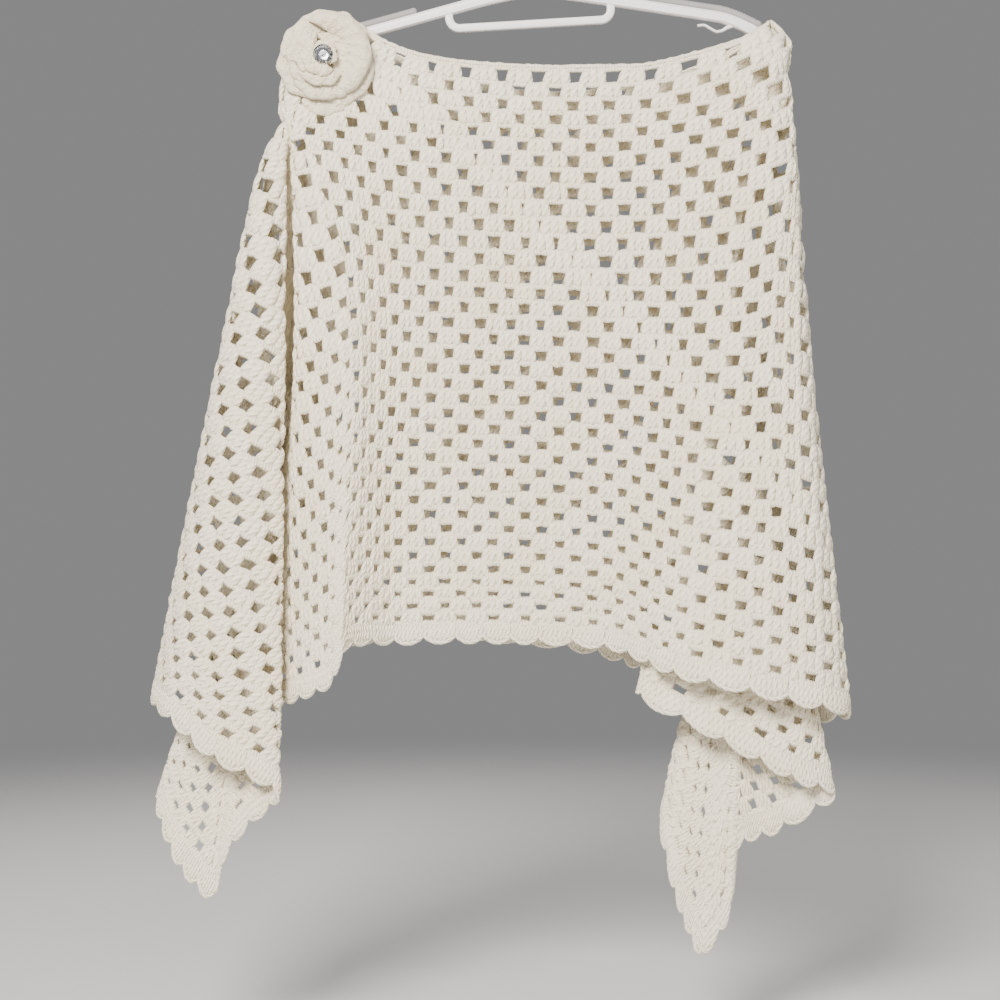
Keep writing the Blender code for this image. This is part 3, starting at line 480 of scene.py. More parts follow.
class StrandMesh:
    """Gathers closed tubes and sheets of yarn into one mesh, with a strand map on it.

    The strand map runs along a strand in u and round it in v.
    """

    cap: float = 0.18

    def __init__(self) -> None:
        """Start with nothing in the mesh."""
        self.points: list[Points] = []
        self.faces: dict[int, list[Points]] = {4: [], 3: []}
        self.maps: dict[int, list[Points]] = {4: [], 3: []}
        self.count = 0

    def add_faces(self, faces: Points, u: Points, v: Points) -> None:
        """Add faces with the place of each corner on the strand map."""
        corners = faces.shape[-1]
        self.faces[corners].append(faces.reshape(-1, corners))
        self.maps[corners].append(np.stack([u, np.broadcast_to(v, u.shape)], -1).reshape(-1, 2))

    def add_tubes(self, centres: Points, sides: Points, outward: Points, wide: Points,
                  deep: Points, lengths: Points, ring: int, start: float = 0.0) -> None:
        """Add tubes with rounded ends, each by its stations along the last axis but xyz.

        Args:
            centres: points along each tube, in millimetres.
            sides: the way across each tube at each station.
            outward: the way out of the cloth at each station.
            wide: half widths.
            deep: half depths.
            lengths: places along the strand map.
            ring: corners round a tube.
            start: turn of the first corner, as a share of one corner's step.
        """
        stations = centres.shape[-2]
        centres, sides, outward = (np.reshape(a, (-1, stations, 1, 3))
                                   for a in (centres, sides, outward))
        wide, deep = (np.reshape(a, (-1, stations, 1)) for a in (wide, deep))
        angle = TURN * (np.arange(ring) + start) / ring
        rings = (centres + sides * (wide * np.cos(angle))[..., None]
                 + outward * (deep * np.sin(angle))[..., None])
        centres = centres[:, :, 0]
        ends = np.stack([centres[:, 0] + self.cap * (centres[:, 0] - centres[:, 1]),
                         centres[:, -1] + self.cap * (centres[:, -1] - centres[:, -2])], axis=1)
        self.add_rings(rings, ends, np.reshape(lengths, (-1, stations)))

    def add_rings(self, rings: Points, ends: Points, lengths: Points) -> None:
        """Add tubes given by their rings of corners.

        Args:
            rings: tubes by stations by corners by xyz, in millimetres.
            ends: the two closing points of each tube.
            lengths: place along the strand map, tubes by stations.
        """
        tubes, stations, ring = rings.shape[:3]
        each = stations * ring + 2
        self.points.append(np.concatenate([rings.reshape(tubes, -1, 3), ends], 1).reshape(-1, 3))
        shift = self.count + each * np.arange(tubes)[:, None, None]
        quads = grid_quads(stations, ring, True)
        s, k = quads[:, 0] // ring, quads[:, 0] % ring
        u = np.stack([lengths[:, s], lengths[:, s], lengths[:, s + 1], lengths[:, s + 1]], 2)
        self.add_faces(quads + shift, u, np.stack([k, k + 1, k + 1, k], 1) / ring)
        k = np.arange(ring)
        n, last = (k + 1) % ring, (stations - 1) * ring
        tris = np.concatenate([np.stack([0 * k + each - 2, n, k], 1),
                               np.stack([0 * k + each - 1, last + k, last + n], 1)])
        u = np.repeat(lengths[:, [0, -1]], ring, 1)[:, :, None] * np.ones(3)
        turn = np.concatenate([np.stack([k + 0.5, k + 1, k], 1), np.stack([k + 0.5, k, k + 1], 1)])
        self.add_faces(tris + shift, u, turn / ring)
        self.count += tubes * each

    def add_sheet(self, outer: Points, inner: Points, u: Points, v: Points,
                  closed: bool = False) -> None:
        """Add a closed sheet between two grids of points whose edges meet or are joined.

        Args:
            outer: the outer grid, rows by columns by xyz, in millimetres.
            inner: the inner grid.
            u: place on the strand map for each point.
            v: the other place on the strand map.
            closed: true where the last column joins the first.
        """
        rows, columns = outer.shape[:2]
        shift = rows * columns
        front = grid_quads(rows, columns, closed)
        first = np.arange(columns if closed else columns - 1)
        following = (first + 1) % columns
        edges = [(following, first), (shift - columns + first, shift - columns + following)]
        if not closed:
            line = np.arange(rows - 1) * columns
            edges += [(line, line + columns), (line + 2 * columns - 1, line + columns - 1)]
        rims = [np.stack([a, b, b + shift, a + shift], 1) for a, b in edges]
        quads = np.concatenate([front, front[:, [0, 3, 2, 1]] + shift, *rims])
        flat_u, flat_v = (np.concatenate([a.ravel(), a.ravel()]) for a in (u, v))
        self.points += [outer.reshape(-1, 3), inner.reshape(-1, 3)]
        self.add_faces(quads + self.count, flat_u[quads], flat_v[quads])
        self.count += 2 * shift

    def make(self, name: str, material: bpy.types.Material,
             sharp: float = 180.0) -> bpy.types.Object:
        """Make the object.

        Args:
            name: the piece's name.
            material: its finish.
            sharp: angle in degrees above which an edge stays sharp.

        Returns:
            The new object, in metres, in the part's frame.
        """
        points = np.concatenate(self.points) * MM
        corners = np.concatenate([f.ravel() for n in (4, 3) for f in self.faces[n]])
        sizes = np.concatenate([np.full(len(f), n) for n in (4, 3) for f in self.faces[n]])
        mesh = bpy.data.meshes.new(name)
        mesh.vertices.add(len(points))
        mesh.vertices.foreach_set("co", points.ravel())
        mesh.loops.add(len(corners))
        mesh.loops.foreach_set("vertex_index", corners.astype(np.int32))
        mesh.polygons.add(len(sizes))
        mesh.polygons.foreach_set("loop_start", (np.cumsum(sizes) - sizes).astype(np.int32))
        mesh.update(calc_edges=True)
        strand = np.concatenate(self.maps[4] + self.maps[3]).ravel()
        mesh.uv_layers.new(name="strand").uv.foreach_set("vector", strand.astype(np.float32))
        mesh.validate(clean_customdata=False)
        mesh.shade_smooth()
        if sharp < 180.0:
            mesh.set_sharp_from_angle(angle=math.radians(sharp))
        mesh.materials.append(material)
        return add_object(name, mesh)


# ------------------------------------------------------------------ finishes

class Wiring:
    """Shorthand for adding and linking nodes of one tree."""

    def __init__(self, tree: bpy.types.NodeTree) -> None:
        """Keep the tree."""
        self.tree = tree

    def add(self, kind: str, **settings: object) -> bpy.types.Node:
        """Add a node of a kind, with its settings."""
        node = self.tree.nodes.new("ShaderNode" + kind)
        for name, value in settings.items():
            setattr(node, name, value)
        return node

    def feed(self, node: bpy.types.Node, **values: object) -> bpy.types.Node:
        """Link sockets or set numbers on a node's inputs.

        Args:
            node: the node to feed.
            values: in_0, in_1, ... or an input's name with _ for each space.

        Returns:
            The node.
        """
        for name, value in values.items():
            key = int(name[3:]) if name.startswith("in_") else name.replace("_", " ")
            if isinstance(value, bpy.types.NodeSocket):
                self.tree.links.new(value, node.inputs[key])
            else:
                node.inputs[key].default_value = value
        return node

    def sum_of(self, operation: str, first: object, second: object = 0.0,
               third: object = 0.0) -> bpy.types.NodeSocket:
        """A Math node's result."""
        node = self.add("Math", operation=operation)
        return self.feed(node, in_0=first, in_1=second, in_2=third).outputs[0]

    def ramp(self, value: bpy.types.NodeSocket, low: float, high: float,
             start: float = 0.0, stop: float = 1.0) -> bpy.types.NodeSocket:
        """A Map Range node's result, eased and held between start and stop."""
        node = self.add("MapRange", interpolation_type="SMOOTHSTEP")
        return self.feed(node, in_0=value, in_1=low, in_2=high, in_3=start, in_4=stop).outputs[0]

    def noise(self, place: bpy.types.NodeSocket, scale: float, detail: float,
              rough: float = 0.6) -> bpy.types.NodeSocket:
        """A Noise Texture's factor."""
        return self.feed(self.add("TexNoise"), Vector=place, Scale=scale, Detail=detail,
                         Roughness=rough).outputs["Fac"]

    def blend(self, factor: object, first: object, second: object) -> bpy.types.NodeSocket:
        """A Mix node's colour."""
        node = self.add("Mix", data_type="RGBA")
        return self.feed(node, in_0=factor, in_6=first, in_7=second).outputs[2]

    def bump(self, strength: float, depth: float,
             height: bpy.types.NodeSocket) -> bpy.types.NodeSocket:
        """A Bump node's normal."""
        return self.feed(self.add("Bump"), Strength=strength, Distance=depth,
                         Height=height).outputs[0]


def new_group(name: str, inputs: dict[str, float | None],
              outputs: Sequence[str]) -> tuple[Wiring, dict[str, bpy.types.NodeSocket]]:
    """Start a shader node group with named sockets.

    Args:
        name: the group's name.
        inputs: the inputs and their defaults, None for a vector.
        outputs: the outputs, all numbers.

    Returns:
        The group's wiring and its inputs. Its only other node is its output, named "out".
    """
    group = bpy.data.node_groups.new(name, "ShaderNodeTree")
    for label, default in inputs.items():
        kind = "NodeSocketVector" if default is None else "NodeSocketFloat"
        socket = group.interface.new_socket(name=label, in_out="INPUT", socket_type=kind)
        if default is not None:
            socket.default_value = default
    for label in outputs:
        group.interface.new_socket(name=label, in_out="OUTPUT", socket_type="NodeSocketFloat")
    group.nodes.new("NodeGroupInput").name = "in"
    group.nodes.new("NodeGroupOutput").name = "out"
    return Wiring(group), {socket.name: socket for socket in group.nodes["in"].outputs}


def yarn_group() -> bpy.types.NodeTree:
    """The twist, fuzz and unevenness of spun wool.

    Returns:
        A group that puts out a relief height and three masks: the grooves between the plies, which
        the wool uses for painted shade, slow changes of tone from place to place, and small dark
        specks between the hairs.
    """
    wires, source = new_group("spun_yarn", {"Strand": None, "Place": None, "Turns": 1.0,
                                            "Plies": 2.0, "Fuzz": 0.5},
                              ("Height", "Groove", "Patch", "Speck"))
    place = source["Place"]
    parts = wires.feed(wires.add("SeparateXYZ"), in_0=source["Strand"]).outputs
    turn = wires.sum_of("MULTIPLY_ADD", parts["X"], source["Turns"],
                        wires.sum_of("MULTIPLY", parts["Y"], source["Plies"]))
    turn = wires.sum_of("MULTIPLY_ADD", wires.noise(place, 260.0, 2.0), 0.55, turn)
    wave = wires.sum_of("SINE", wires.sum_of("MULTIPLY", turn, TURN))
    ply = wires.sum_of("POWER", wires.sum_of("MULTIPLY_ADD", wave, 0.499, 0.5), 0.6)
    hairs = wires.sum_of("MULTIPLY", wires.noise(place, 1300.0, 2.0), 0.8)
    lint = wires.sum_of("MULTIPLY", wires.noise(place, 430.0, 3.0), 2.4)
    height = wires.sum_of("MULTIPLY_ADD", wires.sum_of("ADD", hairs, lint), source["Fuzz"], ply)
    # The ply groove mask is painted shade: it is highest where the plies dip into the grooves
    # between them.
    wires.feed(wires.tree.nodes["out"], Height=height,
               Groove=wires.ramp(ply, 0.0, 0.45, 1.0, 0.0),
               Patch=wires.ramp(wires.noise(place, 24.0, 3.0, 0.55), 0.3, 0.7),
               Speck=wires.ramp(wires.noise(place, 620.0, 2.0, 0.5), 0.40, 0.24))
    return wires.tree


def moulding_group() -> bpy.types.NodeTree:
    """The faint ripple, rubbing and dust of moulded goods.

    Returns:
        A group that puts out a relief height, a mask of rubbed places and a mask of dust.
    """
    wires, source = new_group("moulded_skin", {"Place": None, "Ripple": 60.0, "Grain": 900.0},
                              ("Height", "Rubbed", "Dust"))
    place = source["Place"]
    ripple = wires.noise(place, source["Ripple"], 2.0)
    grain = wires.noise(place, source["Grain"], 3.0, 0.7)
    wires.feed(wires.tree.nodes["out"], Height=wires.sum_of("MULTIPLY_ADD", grain, 0.25, ripple),
               Rubbed=wires.ramp(wires.noise(place, 95.0, 5.0, 0.7), 0.52, 0.72),
               Dust=wires.ramp(wires.noise(place, 18.0, 4.0), 0.4, 0.75))
    return wires.tree


def start_material(name: str) -> tuple[bpy.types.Material, Wiring, bpy.types.Node,
                                       bpy.types.NodeSocket]:
    """A new material with its wiring, its shader and places on the object.

    Args:
        name: the material's name.

    Returns:
        The material, its wiring, its shader and the place's socket.
    """
    material = bpy.data.materials.new(name)
    material.use_nodes = True
    wires = Wiring(material.node_tree)
    place = wires.add("TexCoord").outputs["Object"]
    return material, wires, wires.tree.nodes["Principled BSDF"], place


@dataclass(frozen=True)
class WoolFinish:
    """Spun cream wool, soft and matt, with a slight nap, and with painted shade darkening the
    grooves between its plies.
    """

    name: str
    pale: Colour = (0.945, 0.868, 0.70, 1.0)
    warm: Colour = (0.92, 0.825, 0.63, 1.0)
    # The third colour is painted shade in the grooves between the plies, and also the colour of
    # the random dark specks.
    painted_shade_and_speck: Colour = (0.70, 0.60, 0.42, 1.0)
    sheen: Colour = (1.0, 0.97, 0.9, 1.0)
    turns: float = 1.3
    plies: float = 5.0
    fuzz: float = 1.0
    relief: float = 0.0007
    # Strength of the painted shade in the ply grooves.
    ply_shade_strength: float = 0.55
    speckle: float = 0.7

    def build(self, yarn: bpy.types.NodeTree) -> bpy.types.Material:
        """Make the material.

        Args:
            yarn: the spun yarn group.

        Returns:
            The finished material.
        """
        material, wires, shader, place = start_material(self.name)
        strand = wires.add("UVMap", uv_map="strand").outputs[0]
        spun = wires.feed(wires.add("Group", node_tree=yarn), Strand=strand, Place=place,
                          Turns=self.turns, Plies=self.plies, Fuzz=self.fuzz).outputs
        colour = wires.blend(spun["Patch"], self.pale, self.warm)
        # Painted shade: the colour darkens towards the third colour in the ply grooves, and at the
        # random specks.
        shade = wires.sum_of("MULTIPLY", spun["Groove"], self.ply_shade_strength)
        shade = wires.sum_of("MULTIPLY_ADD", spun["Speck"], self.speckle, shade)
        wires.feed(shader, Base_Color=wires.blend(shade, colour, self.painted_shade_and_speck),
                   Roughness=wires.ramp(spun["Height"], 1.0, 2.6, 0.96, 0.82),
                   Normal=wires.bump(0.9, self.relief, spun["Height"]), Sheen_Weight=0.35,
                   Sheen_Roughness=0.55, Sheen_Tint=self.sheen, Specular_IOR_Level=0.15)
        return material


class Shine(Enum):
    """How a hard finish answers light, as plain values of the shader."""

    MOULDED = {}
    PLATED = {"Metallic": 1.0}
    CLEAR = {"Transmission_Weight": 1.0, "IOR": 1.62}


@dataclass(frozen=True)
class HardFinish:
    """Moulded plastic or rubber, plated metal or cut glass, rubbed and dusty in places."""

    name: str
    shine: Shine
    colour: Colour
    dust: Colour
    rough: float
    rough_spread: float
    ripple: float
    grain: float
    strength: float = 0.6
    relief: float = 0.0
    dust_share: float = 1.0
    rubbed: Colour | None = None

    def build(self, skin: bpy.types.NodeTree) -> bpy.types.Material:
        """Make the material.

        Args:
            skin: the moulded skin group.

        Returns:
            The finished material.
        """
        material, wires, shader, place = start_material(self.name)
        worn = wires.feed(wires.add("Group", node_tree=skin), Place=place, Ripple=self.ripple,
                          Grain=self.grain).outputs
        colour = self.colour
        if self.rubbed:
            colour = wires.blend(worn["Rubbed"], colour, self.rubbed)
        if self.shine is not Shine.CLEAR:
            share = wires.sum_of("MULTIPLY", worn["Dust"], self.dust_share)
            colour = wires.blend(share, colour, self.dust)
            normal = wires.bump(self.strength, self.relief, worn["Height"])
            wires.feed(shader, Normal=normal)
        rough = wires.ramp(worn["Rubbed"], 0.0, 1.0, self.rough, self.rough + self.rough_spread)
        wires.feed(shader, Base_Color=colour, Roughness=rough, **self.shine.value)
        return material


@dataclass(frozen=True)
class Finishes:
    """Every finish of the object, built once."""

    cape: bpy.types.Material
    rounds: bpy.types.Material
    border: bpy.types.Material
    rose: bpy.types.Material
    plastic: bpy.types.Material
    rubber: bpy.types.Material
    metal: bpy.types.Material
    foil: bpy.types.Material
    stone: bpy.types.Material

    @classmethod
    def build(cls) -> "Finishes":
        """Build the shared groups and every material."""
        yarn, skin = yarn_group(), moulding_group()
        wools = [
            WoolFinish("cape_wool"),
            WoolFinish("cape_wool_chain", turns=3.4, plies=1.0),
            WoolFinish("border_wool", pale=(0.955, 0.885, 0.73, 1.0)),
            # The rose wool's third colour and its strength are painted shade in its ply grooves,
            # as for the cape.
            WoolFinish("rose_wool", (0.90, 0.81, 0.63, 1.0), (0.87, 0.765, 0.56, 1.0),
                       (0.70, 0.59, 0.40, 1.0), turns=0.6, plies=1.0, fuzz=1.25, relief=0.001,
                       ply_shade_strength=0.3, speckle=1.0),
        ]
        clear = (0.97, 0.98, 1.0, 1.0)
        hards = [
            HardFinish("white_plastic", Shine.MOULDED, (0.80, 0.765, 0.77, 1.0),
                       (0.72, 0.68, 0.67, 1.0), 0.34, 0.12, 60.0, 900.0, relief=0.00012,
                       dust_share=0.25, rubbed=(0.83, 0.80, 0.80, 1.0)),
            HardFinish("grey_rubber", Shine.MOULDED, (0.27, 0.26, 0.255, 1.0),
                       (0.40, 0.385, 0.37, 1.0), 0.68, 0.14, 220.0, 2600.0, relief=0.00008,
                       dust_share=0.4, rubbed=(0.34, 0.33, 0.32, 1.0)),
            HardFinish("setting_metal", Shine.PLATED, (0.82, 0.83, 0.85, 1.0),
                       (0.7052, 0.7138, 0.731, 1.0), 0.16, 0.14, 300.0, 2400.0, 0.4, 0.00005),
            HardFinish("stone_silvering", Shine.PLATED, (0.90, 0.91, 0.93, 1.0),
                       (0.774, 0.7826, 0.7998, 1.0), 0.06, 0.14, 300.0, 2400.0, 0.4, 0.00005),
            HardFinish("cut_stone", Shine.CLEAR, clear, clear, 0.02, 0.05, 200.0, 1800.0),
        ]
        return cls(*(wool.build(yarn) for wool in wools), *(hard.build(skin) for hard in hards))


# ------------------------------------------------------------------ the crochet

@dataclass
class CrochetPanel:
    """One panel of the cape: rounds of three-stitch clusters and the chain tops between them.

    Sizes across are in clusters, sizes down in rounds and the rest in millimetres. A tuple of
    five gives the sizes of a stitch at its stations.
    """

    form: ClothForm
    panel: Panel
    split_row: int = 24
    stations: tuple[float, ...] = (-0.05, 0.16, 0.42, 0.70, 0.97)
    spread: tuple[float, ...] = (0.172, 0.196, 0.218, 0.236, 0.240)
    half_wide: tuple[float, ...] = (0.108, 0.126, 0.135, 0.138, 0.124)
    half_deep: tuple[float, ...] = (1.6, 2.15, 2.45, 2.3, 1.8)
    stand_off: tuple[float, ...] = (0.5, 0.7, 0.65, 0.35, 0.1)
    gap_share: float = 0.30
    widest_gap: float = 8.5
    narrowest: float = 1.0
    widest: float = 6.8
    ring: int = 7
    wobble: float = 0.022
    uneven: float = 0.05
    uneven_height: float = 0.3
    uneven_foot: float = 0.025
    corner_lean: float = 0.20
    corner_wide: float = 0.165
    corner_least: float = 3.2
    corner_most: float = 6.5
    corner_deep: float = 2.6
    corner_inset: float = 0.10
    corner_turn: float = 0.9
    corner_uneven: float = 0.08
    corner_stand_off: float = 0.4
    corner_taper: tuple[float, ...] = (0.75, 0.95, 1.05, 1.05, 0.85)
    corner_thinning: tuple[float, ...] = (0.75, 0.95, 1.0, 1.0, 0.8)
    join_start: float = -5.0
    join_reach: float = 0.6
    join_close: float = 0.04
    join_swell: float = 0.25
    drift_left: float = 0.31
    drift_right: float = 0.42
    neck_chains: tuple[float, ...] = (-0.34, -0.10)
    neck_high: float = 2.2
    chain_row: float = 0.985
    chain_high: tuple[float, float] = (2.8, 4.1)
    chain_grows: tuple[float, float] = (8.0, 34.0)
    chain_deep: float = 2.0
    chain_pulse: float = 0.11
    chain_wobble: float = 0.018
    chain_stand_off: float = 0.25
    row_pitch: float = 14.5
    full_pitch: float = 18.0
    deep_pitch: float = 14.0
    chain_parts: int = 9
    chain_ring: int = 5

    @property
    def front(self) -> bool:
        """Whether this is the front panel, whose rounds are joined where it shows."""
        return self.panel is Panel.FRONT

    def clusters(self, first: int, stop: int) -> tuple[Points, Points, Points]:
        """Rounds, middles and corner leans of the clusters of rounds first to stop - 1."""
        rounds, middles, leans = [], [], []
        for k in range(first, stop):
            count = int(self.form.neck_clusters) + k
            rounds.append(np.full(count, float(k)))
            middles.append(np.arange(count) + 0.5 - 0.5 * count)
            lean = np.zeros(count)
            lean[[0, 1, -2, -1]] = self.corner_lean * np.array([-1.0, -0.35, 0.35, 1.0])
            leans.append(lean)
        return np.concatenate(rounds), np.concatenate(middles), np.concatenate(leans)

    def closing(self, rounds: Points, middles: Points) -> Points:
        """How far each cluster swells towards the join: + to its right, - to its left."""
        to_join = self.join_start + 0.5 * rounds - middles
        near = np.abs(to_join) < self.join_reach
        return np.where(self.front & near, np.sign(to_join), 0.0)

    def drift(self, rounds: Points, middles: Points) -> Points:
        """How far the front's clusters are drawn to the left, more so beyond the join."""
        beyond = middles > self.join_start + 0.5 * rounds
        share = 1.0 - (middles / self.form.half_width(rounds)) ** 2
        return self.front * share * np.where(beyond, self.drift_right, self.drift_left)

    def corner_posts(self, first: int, stop: int, yarn: StrandMesh) -> None:
        """Add the stitches worked into each round's corners, along both corner lines.

        Args:
            first: the first round.
            stop: the round after the last.
            yarn: the mesh to add them to.
        """
        other = Panel.BACK if self.front else Panel.FRONT
        rng = np.random.default_rng(SEED + 60 + first + (0 if self.front else 1))
        rounds = np.repeat(np.arange(first, stop, dtype=float), 2)
        hand = np.tile([-1.0, 1.0], stop - first)
        rows = rounds[:, None] + np.array(self.stations)
        rows = np.clip(rows, self.form.least_row, self.form.hem_row)
        side = hand[:, None] * (self.form.half_width(rows) - self.corner_inset)
        lie = self.form.lie(self.panel, side, rows)
        across = self.form.lie(other, side, rows)
        outward = unit(lie.outward + self.corner_turn * across.outward)
        size = 1.0 + rng.normal(0.0, self.corner_uneven, (len(rounds), 1))
        wide = np.clip(self.corner_wide * lie.across_mm, self.corner_least, self.corner_most)
        wide = wide * size * np.array(self.corner_taper)
        deep = self.corner_deep * size * np.array(self.corner_thinning)
        centres = lie.point + self.corner_stand_off * outward
        lengths = rng.random((len(rounds), 1)) + run_of(centres)
        yarn.add_tubes(centres, aside_of(centres, outward), outward, wide, deep, lengths,
                       self.ring)

    def posts(self, first: int, stop: int, name: str,
              material: bpy.types.Material) -> bpy.types.Object:
        """Make the clusters of some rounds.

        Args:
            first: the first round.
            stop: the round after the last.
            name: the piece's name.
            material: its wool.

        Returns:
            The piece.
        """
        rng = np.random.default_rng(SEED + first + (0 if self.front else 100))
        rounds, middles, leans = self.clusters(first, stop)
        closing = self.closing(rounds, middles)[:, None, None]
        count = len(rounds)
        shift = rng.normal(0.0, self.wobble, count)
        swell = 1.0 + rng.normal(0.0, self.uneven, (count, 3, 1))
        height = rng.normal(0.0, self.uneven_height, (count, 3, 1))
        lower = rng.normal(0.0, self.uneven_foot, (count, 3, 1))
        t = np.array(self.stations)
        which = np.array([-1.0, 0.0, 1.0])[:, None]
        pull = np.where(which * closing > 0.0, 1.0, 0.4 * (which == 0.0))
        pitch = self.form.lie(self.panel, middles, rounds + 0.5).across_mm
        gap = np.minimum(self.gap_share, self.widest_gap / pitch)
        fill = ((1.0 - gap) / (1.0 - self.gap_share))[:, None, None]
        side = (middles + shift - self.drift(rounds, middles))[:, None, None]
        side = side + leans[:, None, None] * np.clip(t, 0.0, 1.0) ** 1.4
        side = side + which * np.array(self.spread) * fill + self.join_close * closing * pull
        rows = rounds[:, None, None] + t + lower * (t > 0.5)
        rows = np.clip(rows, self.form.least_row, self.form.hem_row)
        lie = self.form.lie(self.panel, side, rows)
        stretch = 1.0 + self.join_swell * np.abs(closing) * (pull > 0.5)
        wide = np.array(self.half_wide) * lie.across_mm * swell * stretch * fill
        wide = np.clip(wide, self.narrowest, self.widest)
        deep = np.minimum(np.array(self.half_deep) * (0.75 + 0.25 * swell), 1.15 * wide + 0.4)
        rise = np.array(self.stand_off) + height * (t > 0.2)
        centres = lie.point + lie.outward * rise[..., None]
        lengths = run_of(centres) + rng.random((count, 3, 1))
        yarn = StrandMesh()
        yarn.add_tubes(centres, aside_of(centres, lie.outward), lie.outward, wide, deep,
                       lengths, self.ring)
        self.corner_posts(first, stop, yarn)
        return yarn.make(name, material)

    def rounds_of_chain(self, name: str, material: bpy.types.Material) -> bpy.types.Object:
        """Make the chain tops that close every round, and the neck's chains.

        Args:
            name: the piece's name.
            material: its wool.

        Returns:
            The piece.
        """
        form, yarn = self.form, StrandMesh()
        rng = np.random.default_rng(SEED + (7 if self.front else 8))
        levels = [*self.neck_chains, *(k + self.chain_row for k in range(form.mesh_rows))]
        for k, row in enumerate(levels, start=-len(self.neck_chains)):
            half = float(form.half_width(row))
            steps = max(int(round(2.0 * half * self.chain_parts)), 8)
            place = np.linspace(-half, half, steps + 1)
            level = row + rng.normal(0.0, self.chain_wobble, len(place))
            level = np.where(level < 0.0, level * (1.0 - np.abs(place / half) ** 8), level)
            lie = form.lie(self.panel, place, np.clip(level, form.least_row, form.hem_row))
            grown = float(np.interp(k, self.chain_grows, self.chain_high))
            high = grown if k >= 0 else self.neck_high
            above, below = (form.lie(self.panel, place, np.clip(level + step, 0.0, form.hem_row))
                            for step in (-0.5, 0.5))
            down = np.linalg.norm(below.point - above.point, axis=-1)
            pulse = 1.0 + self.chain_pulse * np.sin(TURN * place * 3.0 + k)
            pulse = pulse + rng.normal(0.0, self.uneven, len(place))
            wide = high * np.clip(down / self.row_pitch, 0.9, 1.7) * pulse
            wide = wide * np.clip(lie.across_mm / self.full_pitch, 0.45, 1.0)
            deep = self.chain_deep * pulse * np.clip(lie.across_mm / self.deep_pitch, 0.5, 1.0)
            yarn.add_tubes(lie.point + self.chain_stand_off * lie.outward,
                           aside_of(lie.point, lie.outward), lie.outward, wide, deep,
                           run_of(lie.point), self.chain_ring, 0.5)
        return yarn.make(name, material)


@dataclass
class ShellBorder:
    """The scalloped edging below one panel: shells of seven stitches, edged with a chain.

    Sizes are in the same units as the panel's.
    """

    form: ClothForm
    panel: Panel
    posts: int = 7
    base_row: float = 37.98
    notch: float = 0.42
    blunt: float = 0.7
    base_spread: float = 0.40
    head_spread: float = 0.43
    drift: float = 0.4
    drift_from: float = -3.0
    stations: tuple[float, ...] = (0.0, 0.22, 0.5, 0.78, 0.97)
    half_deep: tuple[float, ...] = (1.7, 2.1, 2.3, 2.2, 1.8)
    stand_off: tuple[float, ...] = (0.2, 0.5, 0.6, 0.4, 0.1)
    fullness: float = 0.68
    least_wide: float = 1.2
    most_wide: float = 4.6
    uneven: float = 0.07
    wobble: float = 0.006
    head_inset: float = 0.16
    edge_inset: float = 0.10
    edge_wide: float = 2.1
    edge_deep: float = 2.0
    edge_stand_off: float = 0.3
    full_pitch: float = 14.0
    edge_steps: int = 9
    ring: int = 7
    edge_ring: int = 6

    def edge_row(self, aside: Points, pitch: float) -> Points:
        """The scallops' outline: the round reached at a place aside from a shell's middle."""
        lobe = np.abs(np.cos(math.pi * np.clip(aside / pitch, -0.5, 0.5)))
        depth = self.form.hem_row - self.form.mesh_rows
        return self.form.mesh_rows + depth * (1.0 - self.notch * (1.0 - lobe ** self.blunt))

    def drawn(self, fold: Points) -> Points:
        """Places along the border, the front's drawn to the left from the middle on.

        Args:
            fold: places along the border, in clusters at the hem.

        Returns:
            The places as drawn.
        """
        share = 1.0 - (fold / self.form.hem_half) ** 2
        share = share * np.clip(1.0 - fold / self.drift_from, 0.0, 1.0)
        share = share * (self.panel is Panel.FRONT)
        return np.clip(fold - self.drift * share, -self.form.hem_half, self.form.hem_half)

    def make(self, name: str, material: bpy.types.Material) -> bpy.types.Object:
        """Make the edging.

        Args:
            name: the piece's name.
            material: its wool.

        Returns:
            The piece.
        """
        form, yarn = self.form, StrandMesh()
        count = round(2.0 * form.hem_half)
        pitch = 2.0 * form.hem_half / count
        middles = -form.hem_half + pitch * (np.arange(count) + 0.5)
        rng = np.random.default_rng(SEED + (30 if self.panel is Panel.FRONT else 31))
        which = np.linspace(-1.0, 1.0, self.posts)
        head = which * self.head_spread * pitch
        t = np.array(self.stations)
        low = self.edge_row(head, pitch) - self.head_inset
        rows = self.base_row + (low - self.base_row)[None, :, None] * t
        spread = which[:, None] * self.base_spread * (1.0 - t) + head[:, None] * t
        fold = middles[:, None, None] + spread + rng.normal(0.0, self.wobble, (count, 1, 1))
        fold = self.drawn(fold)
        lie = form.lie(self.panel, form.cluster_of(fold, rows), rows)
        gap = np.gradient(fold, axis=1) * lie.across_mm
        wide = np.clip(self.fullness * gap, self.least_wide, self.most_wide)
        wide = wide * (1.0 + rng.normal(0.0, self.uneven, (count, 1, 1)))
        deep = np.array(self.half_deep) * np.clip(wide / 1.6, 0.7, 1.0)
        centres = lie.point + lie.outward * np.array(self.stand_off)[:, None]
        yarn.add_tubes(centres, aside_of(centres, lie.outward), lie.outward, wide, deep,
                       run_of(centres), self.ring)
        step = pitch * np.linspace(-0.5, 0.5, self.edge_steps)
        fold = self.drawn(middles[:, None] + step)
        rows = np.broadcast_to(self.edge_row(step, pitch) - self.edge_inset, fold.shape)
        lie = form.lie(self.panel, form.cluster_of(fold, rows), rows)
        centres = lie.point + self.edge_stand_off * lie.outward
        size = np.clip(lie.across_mm / self.full_pitch, 0.5, 1.0)
        yarn.add_tubes(centres, aside_of(centres, lie.outward), lie.outward,
                       self.edge_wide * size, self.edge_deep * size, run_of(centres),
                       self.edge_ring, 0.5)
        return yarn.make(name, material)


